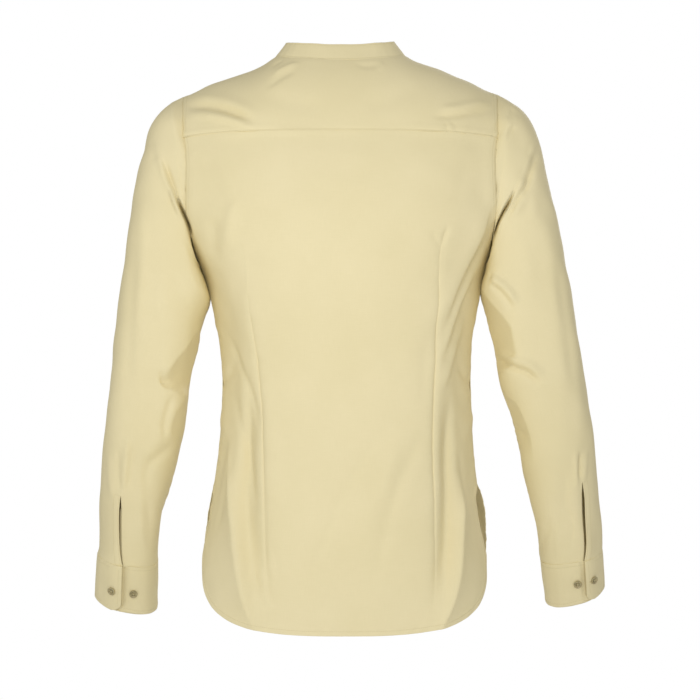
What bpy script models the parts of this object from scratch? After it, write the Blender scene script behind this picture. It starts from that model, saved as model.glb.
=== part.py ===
"""A long-sleeved shirt with a mandarin collar, filled out as if worn.

Metres, +Z up. The front faces -Y and the wearer's left arm is at +X. The origin is at the middle of the
neck opening, about 5 mm above the collar's seam at the centre back. Heights are written as drops below it.
"""

import math

import bmesh
import bpy
import numpy as np
from mathutils import Vector

# ---------------------------------------------------------------- driving dimensions
CLOTH = 0.0012          # wall of one layer of shirting, with its seams
DOUBLE_CLOTH = 0.0020   # wall of the collar and cuffs, two layers and interlining
SEAM_GAP = 0.0003       # between two pieces sewn edge to edge
UNDERLAP_SHIFT = 0.0026  # how far an underlap lies below the piece that laps over it

UNDERARM_DROP = 0.255
SIDE_SLIT_DROP = 0.556  # where the side seam ends and the curved hem starts
YOKE_DROP = 0.098       # back yoke seam at the centre
YOKE_DIP = 0.007        # how much lower that seam is at the armholes
CHEST_DROP = 0.130      # where the front's shoulder part meets its lower part

SHOULDER_TIP_X = 0.2035
SHOULDER_FORWARD = 0.006
ARMHOLE_MIDDLE_DROP = 0.165
ARMHOLE_HALF_DEPTH = {"back": 0.058, "front": 0.060}
ARMHOLE_UPPER_RISE = 0.095

NECK_HALF_WIDTH = 0.0835
NECK_DEPTH = {"back": 0.057, "front": 0.066}
NECK_BACK_SQUARENESS = 0.8   # power of the sine and cosine behind the shoulders, 1 on an ellipse
COLLAR_HEIGHT = 0.0225
COLLAR_SEAT = 0.0008    # how far up the yoke's and fronts' neck edge its own edge starts
COLLAR_CORNER = 0.010   # radius of its free corners at the front
COLLAR_LEAN = {"back": 28.0, "side": 37.0, "front": 20.0}   # degrees from upright, inwards
FRONT_OVERLAP = 0.016   # each front passes the centre line by this much
SHOULDER_SEAM = 0.30    # share of the way from the ridge to the chest line
SHOULDER_CURVE = {"back": (0.60, 0.50), "front": (0.35, 0.42)}  # how far it runs level, then along the body
FRONT_TUCK = (0.050, 0.028)   # from the centre line: where the underlap starts to sink, and over how much

BUTTON_RADIUS = 0.0055
BUTTON_THICKNESS = 0.0026
FRONT_BUTTON_DROPS = (0.118, 0.206, 0.294, 0.382, 0.470, 0.558, 0.640)
CUFF_BUTTON_TURNS = {"outer": 0.955, "inner": 0.131}   # share of the cuff's length, from its under end
CUFF_BUTTON_ALONG = {"left": 0.57, "right": 0.50}   # of the way from the cuff's seam to its edge


class Table:
    """Rows of sizes under named columns, read smoothly between rows by the first column."""

    def __init__(self, columns, rows):
        self.columns = columns
        self.values = np.array(rows, float).T

    def at(self, column, key):
        keys = self.values[0]
        values = self.values[self.columns.index(column)]
        slopes = np.gradient(values, keys)
        key = np.clip(key, keys[0], keys[-1])
        i = np.clip(np.searchsorted(keys, key, side="right") - 1, 0, len(keys) - 2)
        width = keys[i + 1] - keys[i]
        t = (key - keys[i]) / width
        return (
            values[i] * (1 + 2 * t) * (1 - t) ** 2
            + values[i + 1] * t * t * (3 - 2 * t)
            + slopes[i] * width * t * (1 - t) ** 2
            - slopes[i + 1] * width * t * t * (1 - t)
        )


# Sections of the body. Above the underarm they run on under the sleeves, and the armholes cut them.
BODY = Table(
    ("drop", "half_width", "back_depth", "front_depth", "centre_x"),
    (
        (0.090, 0.2125, 0.098, 0.086, -0.0010),
        (0.105, 0.2131, 0.101, 0.092, -0.0010),
        (0.130, 0.2140, 0.108, 0.101, -0.0010),
        (0.165, 0.2146, 0.115, 0.112, -0.0015),
        (0.200, 0.2104, 0.119, 0.120, -0.0020),
        (0.235, 0.1975, 0.119, 0.124, -0.0025),
        (0.255, 0.1895, 0.117, 0.125, -0.0030),
        (0.285, 0.1795, 0.112, 0.124, -0.0050),
        (0.312, 0.1740, 0.108, 0.122, -0.0065),
        (0.350, 0.1658, 0.102, 0.119, -0.0068),
        (0.400, 0.1612, 0.097, 0.116, -0.0082),
        (0.442, 0.1612, 0.097, 0.114, -0.0086),
        (0.494, 0.1640, 0.103, 0.113, -0.0082),
        (0.546, 0.1695, 0.111, 0.113, -0.0074),
        (0.598, 0.1780, 0.117, 0.114, -0.0066),
        (0.650, 0.1875, 0.119, 0.115, -0.0062),
        (0.690, 0.1900, 0.119, 0.116, -0.0062),
        (0.760, 0.1890, 0.118, 0.116, -0.0062),
    ),
)
BODY_SQUARENESS = 0.80  # power of sine and cosine: 1 is an ellipse, less is squarer

# The ridge of the shoulders, from the middle of the neck outwards. The right shoulder is a little higher.
RIDGE = Table(
    ("x", "left_drop", "right_drop"),
    (
        (0.000, -0.0200, -0.0200),
        (0.050, -0.0160, -0.0160),
        (0.082, -0.0042, -0.0058),
        (0.098, 0.0064, 0.0014),
        (0.113, 0.0138, 0.0070),
        (0.128, 0.0194, 0.0122),
        (0.150, 0.0272, 0.0220),
        (0.170, 0.0340, 0.0297),
        (0.187, 0.0420, 0.0385),
        (0.204, 0.0486, 0.0452),
        (0.220, 0.0560, 0.0528),
    ),
)

# Hem: lowest point, and the powers of the curve that rises from it to the side slit.
HEM = {
    "back": {"drop": 0.7385, "flat": 2.35, "round": 2.40, "corner": 60.0},
    "front": {"drop": 0.7200, "flat": 2.35, "round": 2.40, "corner": 60.0},
}

# Sections of each sleeve and cuff: outer and inner edge as seen from behind, half depth, centre forward.
SLEEVE_COLUMNS = ("station", "outer_x", "outer_drop", "inner_x", "inner_drop", "half_depth", "forward")
SLEEVES = {
    "left": Table(
        SLEEVE_COLUMNS,
        (
            (1.0, 0.2185, 0.0560, 0.1890, 0.2575, 0.0590, 0.003),
            (2.0, 0.2300, 0.0650, 0.1875, 0.2600, 0.0605, 0.003),
            (3.0, 0.2395, 0.0770, 0.1862, 0.2630, 0.0618, 0.003),
            (4.0, 0.2480, 0.0935, 0.1848, 0.2668, 0.0628, 0.003),
            (5.0, 0.2552, 0.1180, 0.1828, 0.2715, 0.0635, 0.003),
            (6.0, 0.2632, 0.1480, 0.1805, 0.2775, 0.0640, 0.003),
            (7.0, 0.2700, 0.1830, 0.1773, 0.2855, 0.0640, 0.003),
            (8.0, 0.2755, 0.2200, 0.1738, 0.2965, 0.0635, 0.003),
            (9.0, 0.2812, 0.2650, 0.1712, 0.3130, 0.0622, 0.004),
            (10.0, 0.2870, 0.3120, 0.1795, 0.3400, 0.0605, 0.006),
            (11.0, 0.2925, 0.3560, 0.1862, 0.3760, 0.0580, 0.010),
            (12.0, 0.2980, 0.4010, 0.1948, 0.4170, 0.0560, 0.016),
            (13.0, 0.3045, 0.4460, 0.2022, 0.4600, 0.0535, 0.024),
            (14.0, 0.3092, 0.4910, 0.2110, 0.5040, 0.0510, 0.034),
            (15.0, 0.3132, 0.5360, 0.2212, 0.5480, 0.0480, 0.046),
            (16.0, 0.3158, 0.5810, 0.2335, 0.5920, 0.0455, 0.059),
            (17.0, 0.3190, 0.6260, 0.2410, 0.6360, 0.0430, 0.073),
            (18.0, 0.3222, 0.6590, 0.2425, 0.6700, 0.0415, 0.083),
            (19.0, 0.3262, 0.7030, 0.2440, 0.7180, 0.0405, 0.103),
        ),
    ),
    "right": Table(
        SLEEVE_COLUMNS,
        (
            (1.0, 0.2195, 0.0535, 0.1945, 0.2575, 0.0590, 0.003),
            (2.0, 0.2325, 0.0620, 0.1932, 0.2600, 0.0605, 0.003),
            (3.0, 0.2430, 0.0745, 0.1920, 0.2630, 0.0618, 0.003),
            (4.0, 0.2525, 0.0920, 0.1910, 0.2668, 0.0628, 0.003),
            (5.0, 0.2610, 0.1180, 0.1900, 0.2715, 0.0635, 0.003),
            (6.0, 0.2690, 0.1480, 0.1888, 0.2775, 0.0640, 0.003),
            (7.0, 0.2772, 0.1830, 0.1872, 0.2855, 0.0640, 0.003),
            (8.0, 0.2848, 0.2200, 0.1857, 0.2965, 0.0635, 0.003),
            (9.0, 0.2935, 0.2650, 0.1865, 0.3130, 0.0622, 0.004),
            (10.0, 0.3030, 0.3120, 0.1930, 0.3400, 0.0605, 0.006),
            (11.0, 0.3095, 0.3560, 0.2010, 0.3760, 0.0580, 0.010),
            (12.0, 0.3165, 0.4010, 0.2095, 0.4170, 0.0560, 0.016),
            (13.0, 0.3240, 0.4460, 0.2235, 0.4600, 0.0535, 0.024),
            (14.0, 0.3309, 0.4910, 0.2335, 0.5040, 0.0510, 0.034),
            (15.0, 0.3360, 0.5350, 0.2440, 0.5480, 0.0480, 0.046),
            (16.0, 0.3400, 0.5790, 0.2550, 0.5920, 0.0455, 0.059),
            (17.0, 0.3450, 0.6230, 0.2630, 0.6360, 0.0430, 0.073),
            (18.0, 0.3478, 0.6530, 0.2672, 0.6650, 0.0415, 0.082),
            (19.0, 0.3515, 0.6900, 0.2735, 0.7085, 0.0405, 0.101),
        ),
    ),
}
CUFF_SEAM = 17.6        # station where the sleeve ends in its cuff
CUFF_END = 19.0
SLEEVE_RADIUS = 0.058   # nominal, to place folds round the sleeve
STATION_LENGTH = 0.045  # nominal, to place folds along it
WRIST_GIRTH = 0.260     # round the sleeve above the cuff
CUFF_GIRTH = 0.270
CUFF_LENGTH = 0.062
CUFF_LAP = 0.105        # share of the way round by which the cuff's ends lap
CUFF_CORNER = 0.016     # radius of the cuff's free corner
SLEEVE_SLIT = {         # share of the way round from the outer edge, at the slit's top and at the cuff
    "left": {"top": 15.36, "at_top": 0.203, "at_cuff": 0.241},
    "right": {"top": 15.05, "at_top": 0.159, "at_cuff": 0.202},
}
SLIT_OPENING = 0.0030
PLACKET_WIDTH = 0.0165
PLACKET_DEPTH = 0.0032  # below the sleeve's cloth
FRONT_FLARE = {"left": 0.0012, "right": 0.0055}   # how far the front's tail stands out past the back's
BACK_GAPE = 0.22        # how far round, in radians, the back's edge draws away from it
SLIT_RUN = 0.085        # how far down the side slit both of these go

# Folds and darts of the body: x and drop at both ends, sideways bend, half width, height outwards.
FOLD_COLUMNS = ("x0", "drop0", "x1", "drop1", "bend", "half_width", "height")
BACK_FOLDS = (
    (0.104, 0.640, 0.090, 0.735, 0.002, 0.016, -0.0035),
    (0.128, 0.470, 0.102, 0.650, 0.004, 0.020, -0.0040),
    (0.136, 0.520, 0.122, 0.690, 0.000, 0.018, 0.0035),
    (0.156, 0.470, 0.118, 0.725, -0.006, 0.014, -0.0035),
    (-0.150, 0.560, -0.124, 0.735, -0.004, 0.016, 0.0045),
    (-0.186, 0.240, -0.128, 0.385, 0.003, 0.015, -0.0040),
    (-0.176, 0.285, -0.132, 0.430, 0.003, 0.014, 0.0030),
    (0.158, 0.365, 0.112, 0.435, 0.004, 0.014, 0.0028),
    (0.152, 0.410, 0.124, 0.520, 0.004, 0.016, -0.0030),
    (0.206, 0.052, 0.112, 0.082, -0.008, 0.012, 0.0030),
    (0.200, 0.064, 0.120, 0.090, -0.006, 0.012, -0.0028),
    (-0.200, 0.060, -0.105, 0.078, 0.004, 0.012, 0.0022),
)
FRONT_FOLDS = (
    (0.186, 0.250, 0.120, 0.400, -0.004, 0.018, -0.0035),
    (-0.186, 0.245, -0.122, 0.380, 0.004, 0.018, -0.0035),
    (0.150, 0.380, 0.085, 0.470, 0.004, 0.018, 0.0030),
    (-0.148, 0.420, -0.080, 0.500, -0.004, 0.018, 0.0030),
    (0.128, 0.540, 0.100, 0.710, 0.003, 0.020, -0.0040),
    (-0.132, 0.550, -0.096, 0.715, -0.003, 0.020, -0.0040),
    (0.165, 0.110, 0.105, 0.180, 0.004, 0.018, 0.0025),
    (-0.165, 0.105, -0.100, 0.185, -0.004, 0.018, 0.0025),
)
# The two back waist darts: degrees round from the centre back at each drop.
DARTS = Table(
    ("drop", "left", "right"),
    (
        (0.250, 35.0, 36.0),
        (0.320, 41.0, 39.3),
        (0.386, 40.3, 40.7),
        (0.446, 38.2, 39.2),
        (0.505, 35.5, 37.8),
        (0.560, 32.3, 36.8),
        (0.630, 28.0, 33.8),
        (0.700, 24.0, 31.0),
    ),
)
DART = {"top": 0.250, "bottom": 0.700, "half_width": 0.011, "depth": 0.0032, "across": 0.44}

# Folds of the sleeves: degrees round from the outer edge towards the back, station, and the same sizes.
SLEEVE_FOLD_COLUMNS = ("angle0", "station0", "angle1", "station1", "half_width", "height")
SLEEVE_FOLDS = {
    "left": (
        (165.0, 10.2, 105.0, 11.9, 0.016, -0.0050),
        (172.0, 11.2, 120.0, 12.9, 0.014, 0.0040),
        (195.0, 10.4, 250.0, 12.2, 0.016, -0.0045),
        (100.0, 5.2, 135.0, 8.2, 0.014, 0.0035),
        (255.0, 5.6, 215.0, 8.6, 0.016, 0.0035),
        (60.0, 13.6, 120.0, 16.6, 0.018, -0.0030),
        (250.0, 13.4, 300.0, 16.2, 0.020, 0.0030),
    ),
    "right": (
        (160.0, 8.4, 105.0, 10.2, 0.014, -0.0045),
        (170.0, 9.6, 115.0, 11.9, 0.016, -0.0050),
        (168.0, 10.9, 100.0, 12.3, 0.012, 0.0040),
        (165.0, 12.0, 110.0, 13.4, 0.014, -0.0040),
        (90.0, 4.2, 140.0, 8.2, 0.014, 0.0040),
        (200.0, 10.0, 255.0, 12.0, 0.016, -0.0045),
        (245.0, 13.0, 290.0, 16.0, 0.020, 0.0030),
    ),
}

# Grid of each piece: how many steps it has, which sets how fine the solids are.
BACK_ROWS = (6, 12, 7)          # yoke seam to underarm, to the side slit, to the tail's corner
FRONT_ROWS = (5, 11, 7)
FRONT_COLUMNS = 11
SHOULDER_ROWS = 5
ARMHOLE_STEPS = 5
SLEEVE_COLUMNS_ROUND = 20
COLLAR_STEPS = 30
CUFF_STEPS = 20

COLOURS = {  # linear RGB, roughness, metallic
    "shirting": ((0.760, 0.680, 0.420, 1.0), 0.85, 0.0),
    "shell_button": ((0.420, 0.350, 0.200, 1.0), 0.35, 0.0),
}


# ---------------------------------------------------------------- surfaces
def body_y(x, drop, half):
    """Depth of the body's section at x, positive on the back half and negative on the front."""
    across = np.abs(x - BODY.at("centre_x", drop)) / BODY.at("half_width", drop)
    depth = BODY.at(half + "_depth", drop)
    y = depth * (1 - np.clip(across, 0, 1) ** (2 / BODY_SQUARENESS)) ** (BODY_SQUARENESS / 2)
    return y if half == "back" else -y


def body(angle, drop):
    """Point of the body's section at a drop; the angle runs from the centre back to the wearer's left."""
    sine, cosine = np.sin(angle), np.cos(angle)
    depth = np.where(cosine >= 0, BODY.at("back_depth", drop), BODY.at("front_depth", drop))
    half_width = BODY.at("half_width", drop)
    x = BODY.at("centre_x", drop) + half_width * np.sign(sine) * np.abs(sine) ** BODY_SQUARENESS
    y = depth * np.sign(cosine) * np.abs(cosine) ** BODY_SQUARENESS
    return np.stack([x, y, -drop + 0 * x], axis=-1)


def yoke_seam_drop(x):
    return YOKE_DROP + YOKE_DIP * (np.abs(x) / SHOULDER_TIP_X) ** 4


def shoulder(x, share):
    """Point of the shoulders: share 0 is the ridge, 1 the yoke seam behind it and -1 the chest line."""
    ridge_y = -SHOULDER_FORWARD * (x / SHOULDER_TIP_X) ** 2
    ridge_drop = np.where(x >= 0, RIDGE.at("left_drop", np.abs(x)), RIDGE.at("right_drop", np.abs(x)))
    points = {}
    for half, end_drop in (("back", yoke_seam_drop(x)), ("front", CHEST_DROP + 0 * x)):
        end_y = body_y(x, end_drop, half)
        slope = (body_y(x, end_drop + 0.002, half) - end_y) / 0.002
        fall = end_drop - ridge_drop
        reach = end_y - ridge_y
        lead, rise = SHOULDER_CURVE[half]
        t = np.abs(share)
        weights = (1 - t) ** 3, 3 * t * (1 - t) ** 2, 3 * t * t * (1 - t), t**3
        y_stops = ridge_y, ridge_y + lead * reach, end_y - slope * rise * fall, end_y
        drop_stops = ridge_drop, ridge_drop, end_drop - rise * fall, end_drop
        points[half] = [sum(w * stop for w, stop in zip(weights, stops)) for stops in (y_stops, drop_stops)]
    y = np.where(share >= 0, points["back"][0], points["front"][0])
    drop = np.where(share >= 0, points["back"][1], points["front"][1])
    return np.stack([x + 0 * share, y, -drop], axis=-1)


def shoulder_share(x, y):
    """The share at which the shoulder surface has this depth, found by halving."""
    low, high = np.full(np.shape(x), -1.0), np.full(np.shape(x), 1.0)
    for _ in range(40):
        middle = (low + high) / 2
        past = shoulder(x, middle)[..., 1] > y
        low, high = np.where(past, low, middle), np.where(past, middle, high)
    return (low + high) / 2


def neckline(angle):
    """(x, share) of the neck seam; the angle runs from the centre back to the wearer's left."""
    cosine = np.cos(angle)
    sine = np.sin(angle)
    behind = cosine >= 0
    power = np.where(behind, NECK_BACK_SQUARENESS, 1.0)
    x = NECK_HALF_WIDTH * np.sign(sine) * np.abs(sine) ** power
    y = np.where(behind, NECK_DEPTH["back"], NECK_DEPTH["front"]) * np.sign(cosine) * np.abs(cosine) ** power
    return x, shoulder_share(x, y)


def armhole_y(drop, half):
    """Depth of the armhole's edge on the body, an egg shape seen from the side."""
    below = drop - ARMHOLE_MIDDLE_DROP
    rise = np.where(below > 0, UNDERARM_DROP - ARMHOLE_MIDDLE_DROP, ARMHOLE_UPPER_RISE)
    return ARMHOLE_HALF_DEPTH[half] * np.sqrt(np.clip(1 - (below / rise) ** 2, 0, 1))


def armhole_angle(drop, half):
    """Angle of the body's section at which the armhole cuts it."""
    depth = BODY.at(half + "_depth", drop)
    share = np.clip(armhole_y(drop, half) / depth, 0, 1) ** (1 / BODY_SQUARENESS)
    return np.arccos(share) if half == "back" else np.pi - np.arccos(share)


def armhole_x(side, share):
    """x of the armhole's edge over the shoulder; side is 1 on the left and -1 on the right."""
    ends = [
        body(side * armhole_angle(np.array(drop), half), np.array(drop))[0]
        for half, drop in (("back", YOKE_DROP + YOKE_DIP), ("front", CHEST_DROP))
    ]
    tip = side * SHOULDER_TIP_X
    return tip + (np.where(share >= 0, ends[0], ends[1]) - tip) * share**2


def smooth(t):
    t = np.clip(t, 0, 1)
    return t * t * (3 - 2 * t)


def fold_height(across, down, table):
    """Sum of the folds at a place: each is a soft ridge or trough along a slightly bent line."""
    total = np.zeros(np.broadcast(across, down).shape)
    for x0, down0, x1, down1, bend, half_width, height in table:
        dx, dd = x1 - x0, down1 - down0
        length = math.hypot(dx, dd)
        t = ((across - x0) * dx + (down - down0) * dd) / length**2
        side = ((across - x0) * dd - (down - down0) * dx) / length - 4 * bend * t * (1 - t)
        ends = smooth((t + 0.15) / 0.35) * smooth((1.15 - t) / 0.35)
        total = total + height * np.exp(-((side / half_width) ** 2)) * ends
    return total


def dart_angle(side, drop):
    """Angle of a dart from the centre back; side is positive on the left."""
    return np.radians(np.where(side >= 0, DARTS.at("left", drop), DARTS.at("right", drop)))


def dart_depth(angle, drop):
    """Groove of the two back waist darts, deepest at the waist and running out at both ends."""
    run = np.clip((drop - DART["top"]) / (DART["bottom"] - DART["top"]), 0, 1)
    away = (np.abs(angle) - dart_angle(angle, drop)) * BODY.at("half_width", drop) / DART["half_width"]
    return -DART["depth"] * np.sin(np.pi * run) ** 0.7 * np.exp(-np.abs(away) * 1.2)


def lifted(surface, a, b, lift, outward=1.0):
    """Points of a surface moved out along its normal, worked out from the surface itself."""
    step = 1e-4
    along_a = surface(a + step, b) - surface(a - step, b)
    along_b = surface(a, b + step) - surface(a, b - step)
    normal = np.cross(along_a, along_b)
    normal *= outward / np.maximum(np.linalg.norm(normal, axis=-1, keepdims=True), 1e-12)
    return surface(a, b) + normal * np.asarray(lift)[..., None]


def body_cloth(angle, drop, lift=0.0):
    base = body(angle, drop)
    on_back = np.cos(angle) >= 0
    folds = np.where(
        on_back,
        fold_height(base[..., 0], drop, BACK_FOLDS) + dart_depth(angle, drop),
        fold_height(base[..., 0], drop, FRONT_FOLDS),
    )
    beside_side_seam = smooth((np.abs(np.cos(angle)) - 0.02) / 0.15)
    return lifted(body, angle, drop, folds * beside_side_seam + lift)


def shoulder_cloth(x, share, lift=0.0):
    base = shoulder(x, share)
    folds = np.where(
        share >= 0,
        fold_height(x, -base[..., 2], BACK_FOLDS),
        fold_height(x, -base[..., 2], FRONT_FOLDS),
    )
    near_ridge = smooth((np.abs(share) - 0.05) / 0.2)
    near_neck = smooth((np.hypot(x / NECK_HALF_WIDTH, base[..., 1] / NECK_DEPTH["front"]) - 1.05) / 0.3)
    return lifted(shoulder, x, share, folds * near_ridge * near_neck + lift)


def armhole_loop(side, share):
    """Closed edge of one armhole; share 0 is the shoulder tip, a quarter the back, half the underarm."""
    steps = 40
    halves = {}
    for half, sign, end_drop in (("back", 1, YOKE_DROP + YOKE_DIP), ("front", -1, CHEST_DROP)):
        over = sign * np.linspace(0, 1, steps)
        top = shoulder(armhole_x(side, over), over)
        turn = np.linspace(0, 1, steps)
        drop = end_drop + (UNDERARM_DROP - end_drop) * np.sin(turn * math.pi / 2)
        down = body(side * armhole_angle(drop, half), drop)
        path = np.concatenate([top, down[1:]])
        along = np.concatenate([[0], np.cumsum(np.linalg.norm(np.diff(path, axis=0), axis=1))])
        halves[half] = path, along / along[-1]
    share = np.mod(share, 1.0)
    point = np.empty(np.shape(share) + (3,))
    for axis in range(3):
        back = np.interp(2 * share, halves["back"][1], halves["back"][0][:, axis])
        front = np.interp(2 - 2 * share, halves["front"][1], halves["front"][0][:, axis])
        point[..., axis] = np.where(share <= 0.5, back, front)
    return point


def sleeve_ring(name, share, station):
    """Elliptical section of a sleeve, leaning with the arm; share runs outer, back, inner, front."""
    table = SLEEVES[name]
    outer = np.stack([table.at("outer_x", station), -table.at("outer_drop", station)], axis=-1)
    inner = np.stack([table.at("inner_x", station), -table.at("inner_drop", station)], axis=-1)
    ahead = 0.25
    rise = table.at("outer_drop", station + ahead) - table.at("outer_drop", station - ahead)
    advance = table.at("forward", station + ahead) - table.at("forward", station - ahead)
    lean = np.arctan2(advance, rise + 0.004)
    turn = 2 * math.pi * share
    middle, half = (outer + inner) / 2, (outer - inner) / 2
    depth = table.at("half_depth", station) * np.sin(turn)
    x = middle[..., 0] + half[..., 0] * np.cos(turn)
    y = -table.at("forward", station) + depth * np.cos(lean)
    z = middle[..., 1] + half[..., 1] * np.cos(turn) - depth * np.sin(lean)
    return np.stack([x, y, z], axis=-1)


def sleeve(name, share, station):
    """Sleeve surface: the armhole's edge at station 0, eased into the table's sections."""
    side = 1 if name == "left" else -1
    loop = armhole_loop(side, share)
    # The underarm of the sleeve hangs just clear of the body's side.
    under = np.sin(math.pi * np.mod(share, 1.0)) ** 2
    outward = side * loop[..., 0] + 0.0013 + 0.0012 * under
    loop = np.stack([outward, loop[..., 1], loop[..., 2] - 0.0004 * under], axis=-1)
    ring = sleeve_ring(name, share, np.maximum(station, 1.0))
    first = sleeve_ring(name, share, np.ones_like(share))
    second = sleeve_ring(name, share, np.full_like(share, 2.0))
    t = np.clip(station, 0, 1)[..., None]
    out = (second - first) * 0.5 + (first - loop) * 0.5
    near = (
        loop * (1 + 2 * t) * (1 - t) ** 2
        + first * t * t * (3 - 2 * t)
        + (first - loop) * t * (1 - t) ** 2
        - out * t * t * (1 - t)
    )
    point = np.where(station[..., None] < 1, near, ring)
    return point * np.array([side, 1.0, 1.0])


def slit_share(name, station):
    """Share of the way round at which the sleeve's slit lies."""
    slit = SLEEVE_SLIT[name]
    t = np.clip((station - slit["top"]) / (CUFF_SEAM - slit["top"]), 0, 1)
    return slit["at_top"] + (slit["at_cuff"] - slit["at_top"]) * t ** 1.5


def sleeve_cloth(name, share, station, lift=0.0):
    degrees = np.mod(share, 1.0) * 360
    folds = np.zeros(np.broadcast(share, station).shape)
    for angle0, station0, angle1, station1, half_width, height in SLEEVE_FOLDS[name]:
        start = math.radians(angle0) * SLEEVE_RADIUS, station0 * STATION_LENGTH
        end = math.radians(angle1) * SLEEVE_RADIUS, station1 * STATION_LENGTH
        row = (*start, *end, 0.0, half_width, height)
        folds = folds + fold_height(np.radians(degrees) * SLEEVE_RADIUS, station * STATION_LENGTH, (row,))
    flip = -1.0 if name == "left" else 1.0
    settle = smooth((station - 1.0) / 3.0) * smooth((CUFF_SEAM - station) / 1.0)

    def surface(a, b):
        return sleeve(name, a, b)

    return lifted(surface, share, station, folds * settle + lift, flip)


# ---------------------------------------------------------------- building
def start_scene():
    for old in list(bpy.data.objects):
        bpy.data.objects.remove(old)
    collection = bpy.data.collections.new("mandarin_collar_shirt")
    bpy.context.scene.collection.children.link(collection)
    return collection


def material(name):
    colour, roughness, metallic = COLOURS[name]
    made = bpy.data.materials.get(name) or bpy.data.materials.new(name)
    made.use_nodes = True
    shader = made.node_tree.nodes["Principled BSDF"]
    shader.inputs["Base Color"].default_value = colour
    shader.inputs["Roughness"].default_value = roughness
    shader.inputs["Metallic"].default_value = metallic
    made.diffuse_color = colour
    return made


def inset(grid, edges):
    """Moves a grid's edges in by half a seam gap. Edges are named first/last row or column."""
    pulls = {
        "first_row": (np.s_[0], np.s_[1]),
        "last_row": (np.s_[-1], np.s_[-2]),
        "first_column": (np.s_[:, 0], np.s_[:, 1]),
        "last_column": (np.s_[:, -1], np.s_[:, -2]),
    }
    grid = grid.copy()
    for edge in edges:
        at, beside = pulls[edge]
        toward = grid[beside] - grid[at]
        toward /= np.maximum(np.linalg.norm(toward, axis=-1, keepdims=True), 1e-9)
        grid[at] += toward * SEAM_GAP / 2
    return grid


def cloth_piece(collection, name, grids, thickness=CLOTH, colour="shirting"):
    """One piece of cloth: grids of points sewn where they meet, thickened evenly to both sides."""
    shape = bmesh.new()
    for grid in grids:
        rows, columns = grid.shape[:2]
        corners = [[shape.verts.new(point) for point in row] for row in grid]
        for i in range(rows - 1):
            for j in range(columns - 1):
                ring = corners[i][j], corners[i + 1][j], corners[i + 1][j + 1], corners[i][j + 1]
                shape.faces.new(ring)
    bmesh.ops.remove_doubles(shape, verts=shape.verts, dist=1e-5)
    bmesh.ops.recalc_face_normals(shape, faces=shape.faces)
    mesh = bpy.data.meshes.new(name)
    shape.to_mesh(mesh)
    shape.free()
    piece = bpy.data.objects.new(name, mesh)
    collection.objects.link(piece)
    mesh.materials.append(material(colour))
    mesh.shade_smooth()
    wall = piece.modifiers.new("wall", "SOLIDIFY")
    wall.thickness = thickness
    wall.offset = 0
    return piece


def split_steps(stops, counts):
    """Values from stop to stop with the given number of steps between each pair."""
    parts = [np.linspace(a, b, n, endpoint=False) for a, b, n in zip(stops[:-1], stops[1:], counts)]
    return np.concatenate(parts + [[stops[-1]]])


def hem_drop(angle, half):
    """Drop of the hem at an angle from the centre, a flat tail rising steeply to the side slit."""
    hem = HEM[half]
    from_centre = np.clip(np.abs(angle) / (math.pi / 2), 0, 1)
    height = 1 - (1 - from_centre ** hem["flat"]) ** (1 / hem["round"])
    return hem["drop"] - (hem["drop"] - SIDE_SLIT_DROP) * height


def hem_angle(drop, half):
    """Angle from the centre at which the hem has this drop: the same curve the other way round."""
    hem = HEM[half]
    height = np.clip((hem["drop"] - drop) / (hem["drop"] - SIDE_SLIT_DROP), 0, 1)
    return math.pi / 2 * (1 - (1 - height) ** hem["round"]) ** (1 / hem["flat"])


def edge_angle(drop, half):
    """Angle from the centre of a panel's side edge: armhole, then side seam, then the hem's side."""
    arm = armhole_angle(np.minimum(drop, UNDERARM_DROP), half)
    arm = arm if half == "back" else math.pi - arm
    tail = hem_angle(np.maximum(drop, SIDE_SLIT_DROP), half)
    return np.where(drop < UNDERARM_DROP, arm, np.where(drop > SIDE_SLIT_DROP, tail, math.pi / 2))


def slit_bulge(drop):
    """0 at both ends of the side slit's upper run and 1 inside it."""
    return np.sin(math.pi * np.clip((drop - SIDE_SLIT_DROP) / SLIT_RUN, 0, 1) ** 0.6)


def panel_rows(half, top_drop, counts, across):
    """(angle, drop) grids of a panel; across is -1 to 1 from side to side, and top_drop its upper edge."""
    corner = math.radians(HEM[half]["corner"])
    corner_drop = float(hem_drop(corner, half))
    top_edge = top_drop[-1]
    # Rows crowd towards the underarm, where the armhole turns fastest.
    turn = np.linspace(0, math.pi / 2, counts[0], endpoint=False)
    upper = top_edge + (UNDERARM_DROP - top_edge) * np.sin(turn)
    lower = split_steps((UNDERARM_DROP, SIDE_SLIT_DROP, corner_drop), counts[1:])
    edge = np.concatenate([upper, lower])[:, None]
    share = (edge - top_edge) / (corner_drop - top_edge)
    # One column of the back follows each dart.
    place = np.abs(across)[None, :]
    dart = dart_angle(across[None, :], edge) if half == "back" else DART["across"] * edge_angle(edge, half)
    side = edge_angle(edge, half) - (BACK_GAPE * slit_bulge(edge) if half == "back" else 0.0)
    inner = dart * place / DART["across"]
    outer = dart + (side - dart) * (place - DART["across"]) / (1 - DART["across"])
    angle = np.sign(across)[None, :] * np.where(place < DART["across"], inner, outer)
    hem = hem_drop(angle[-1], half)[None, :]
    drop = edge + (hem - corner_drop) * share**2 + (top_drop[None, :] - top_edge) * (1 - share) ** 2
    return angle, drop


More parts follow.
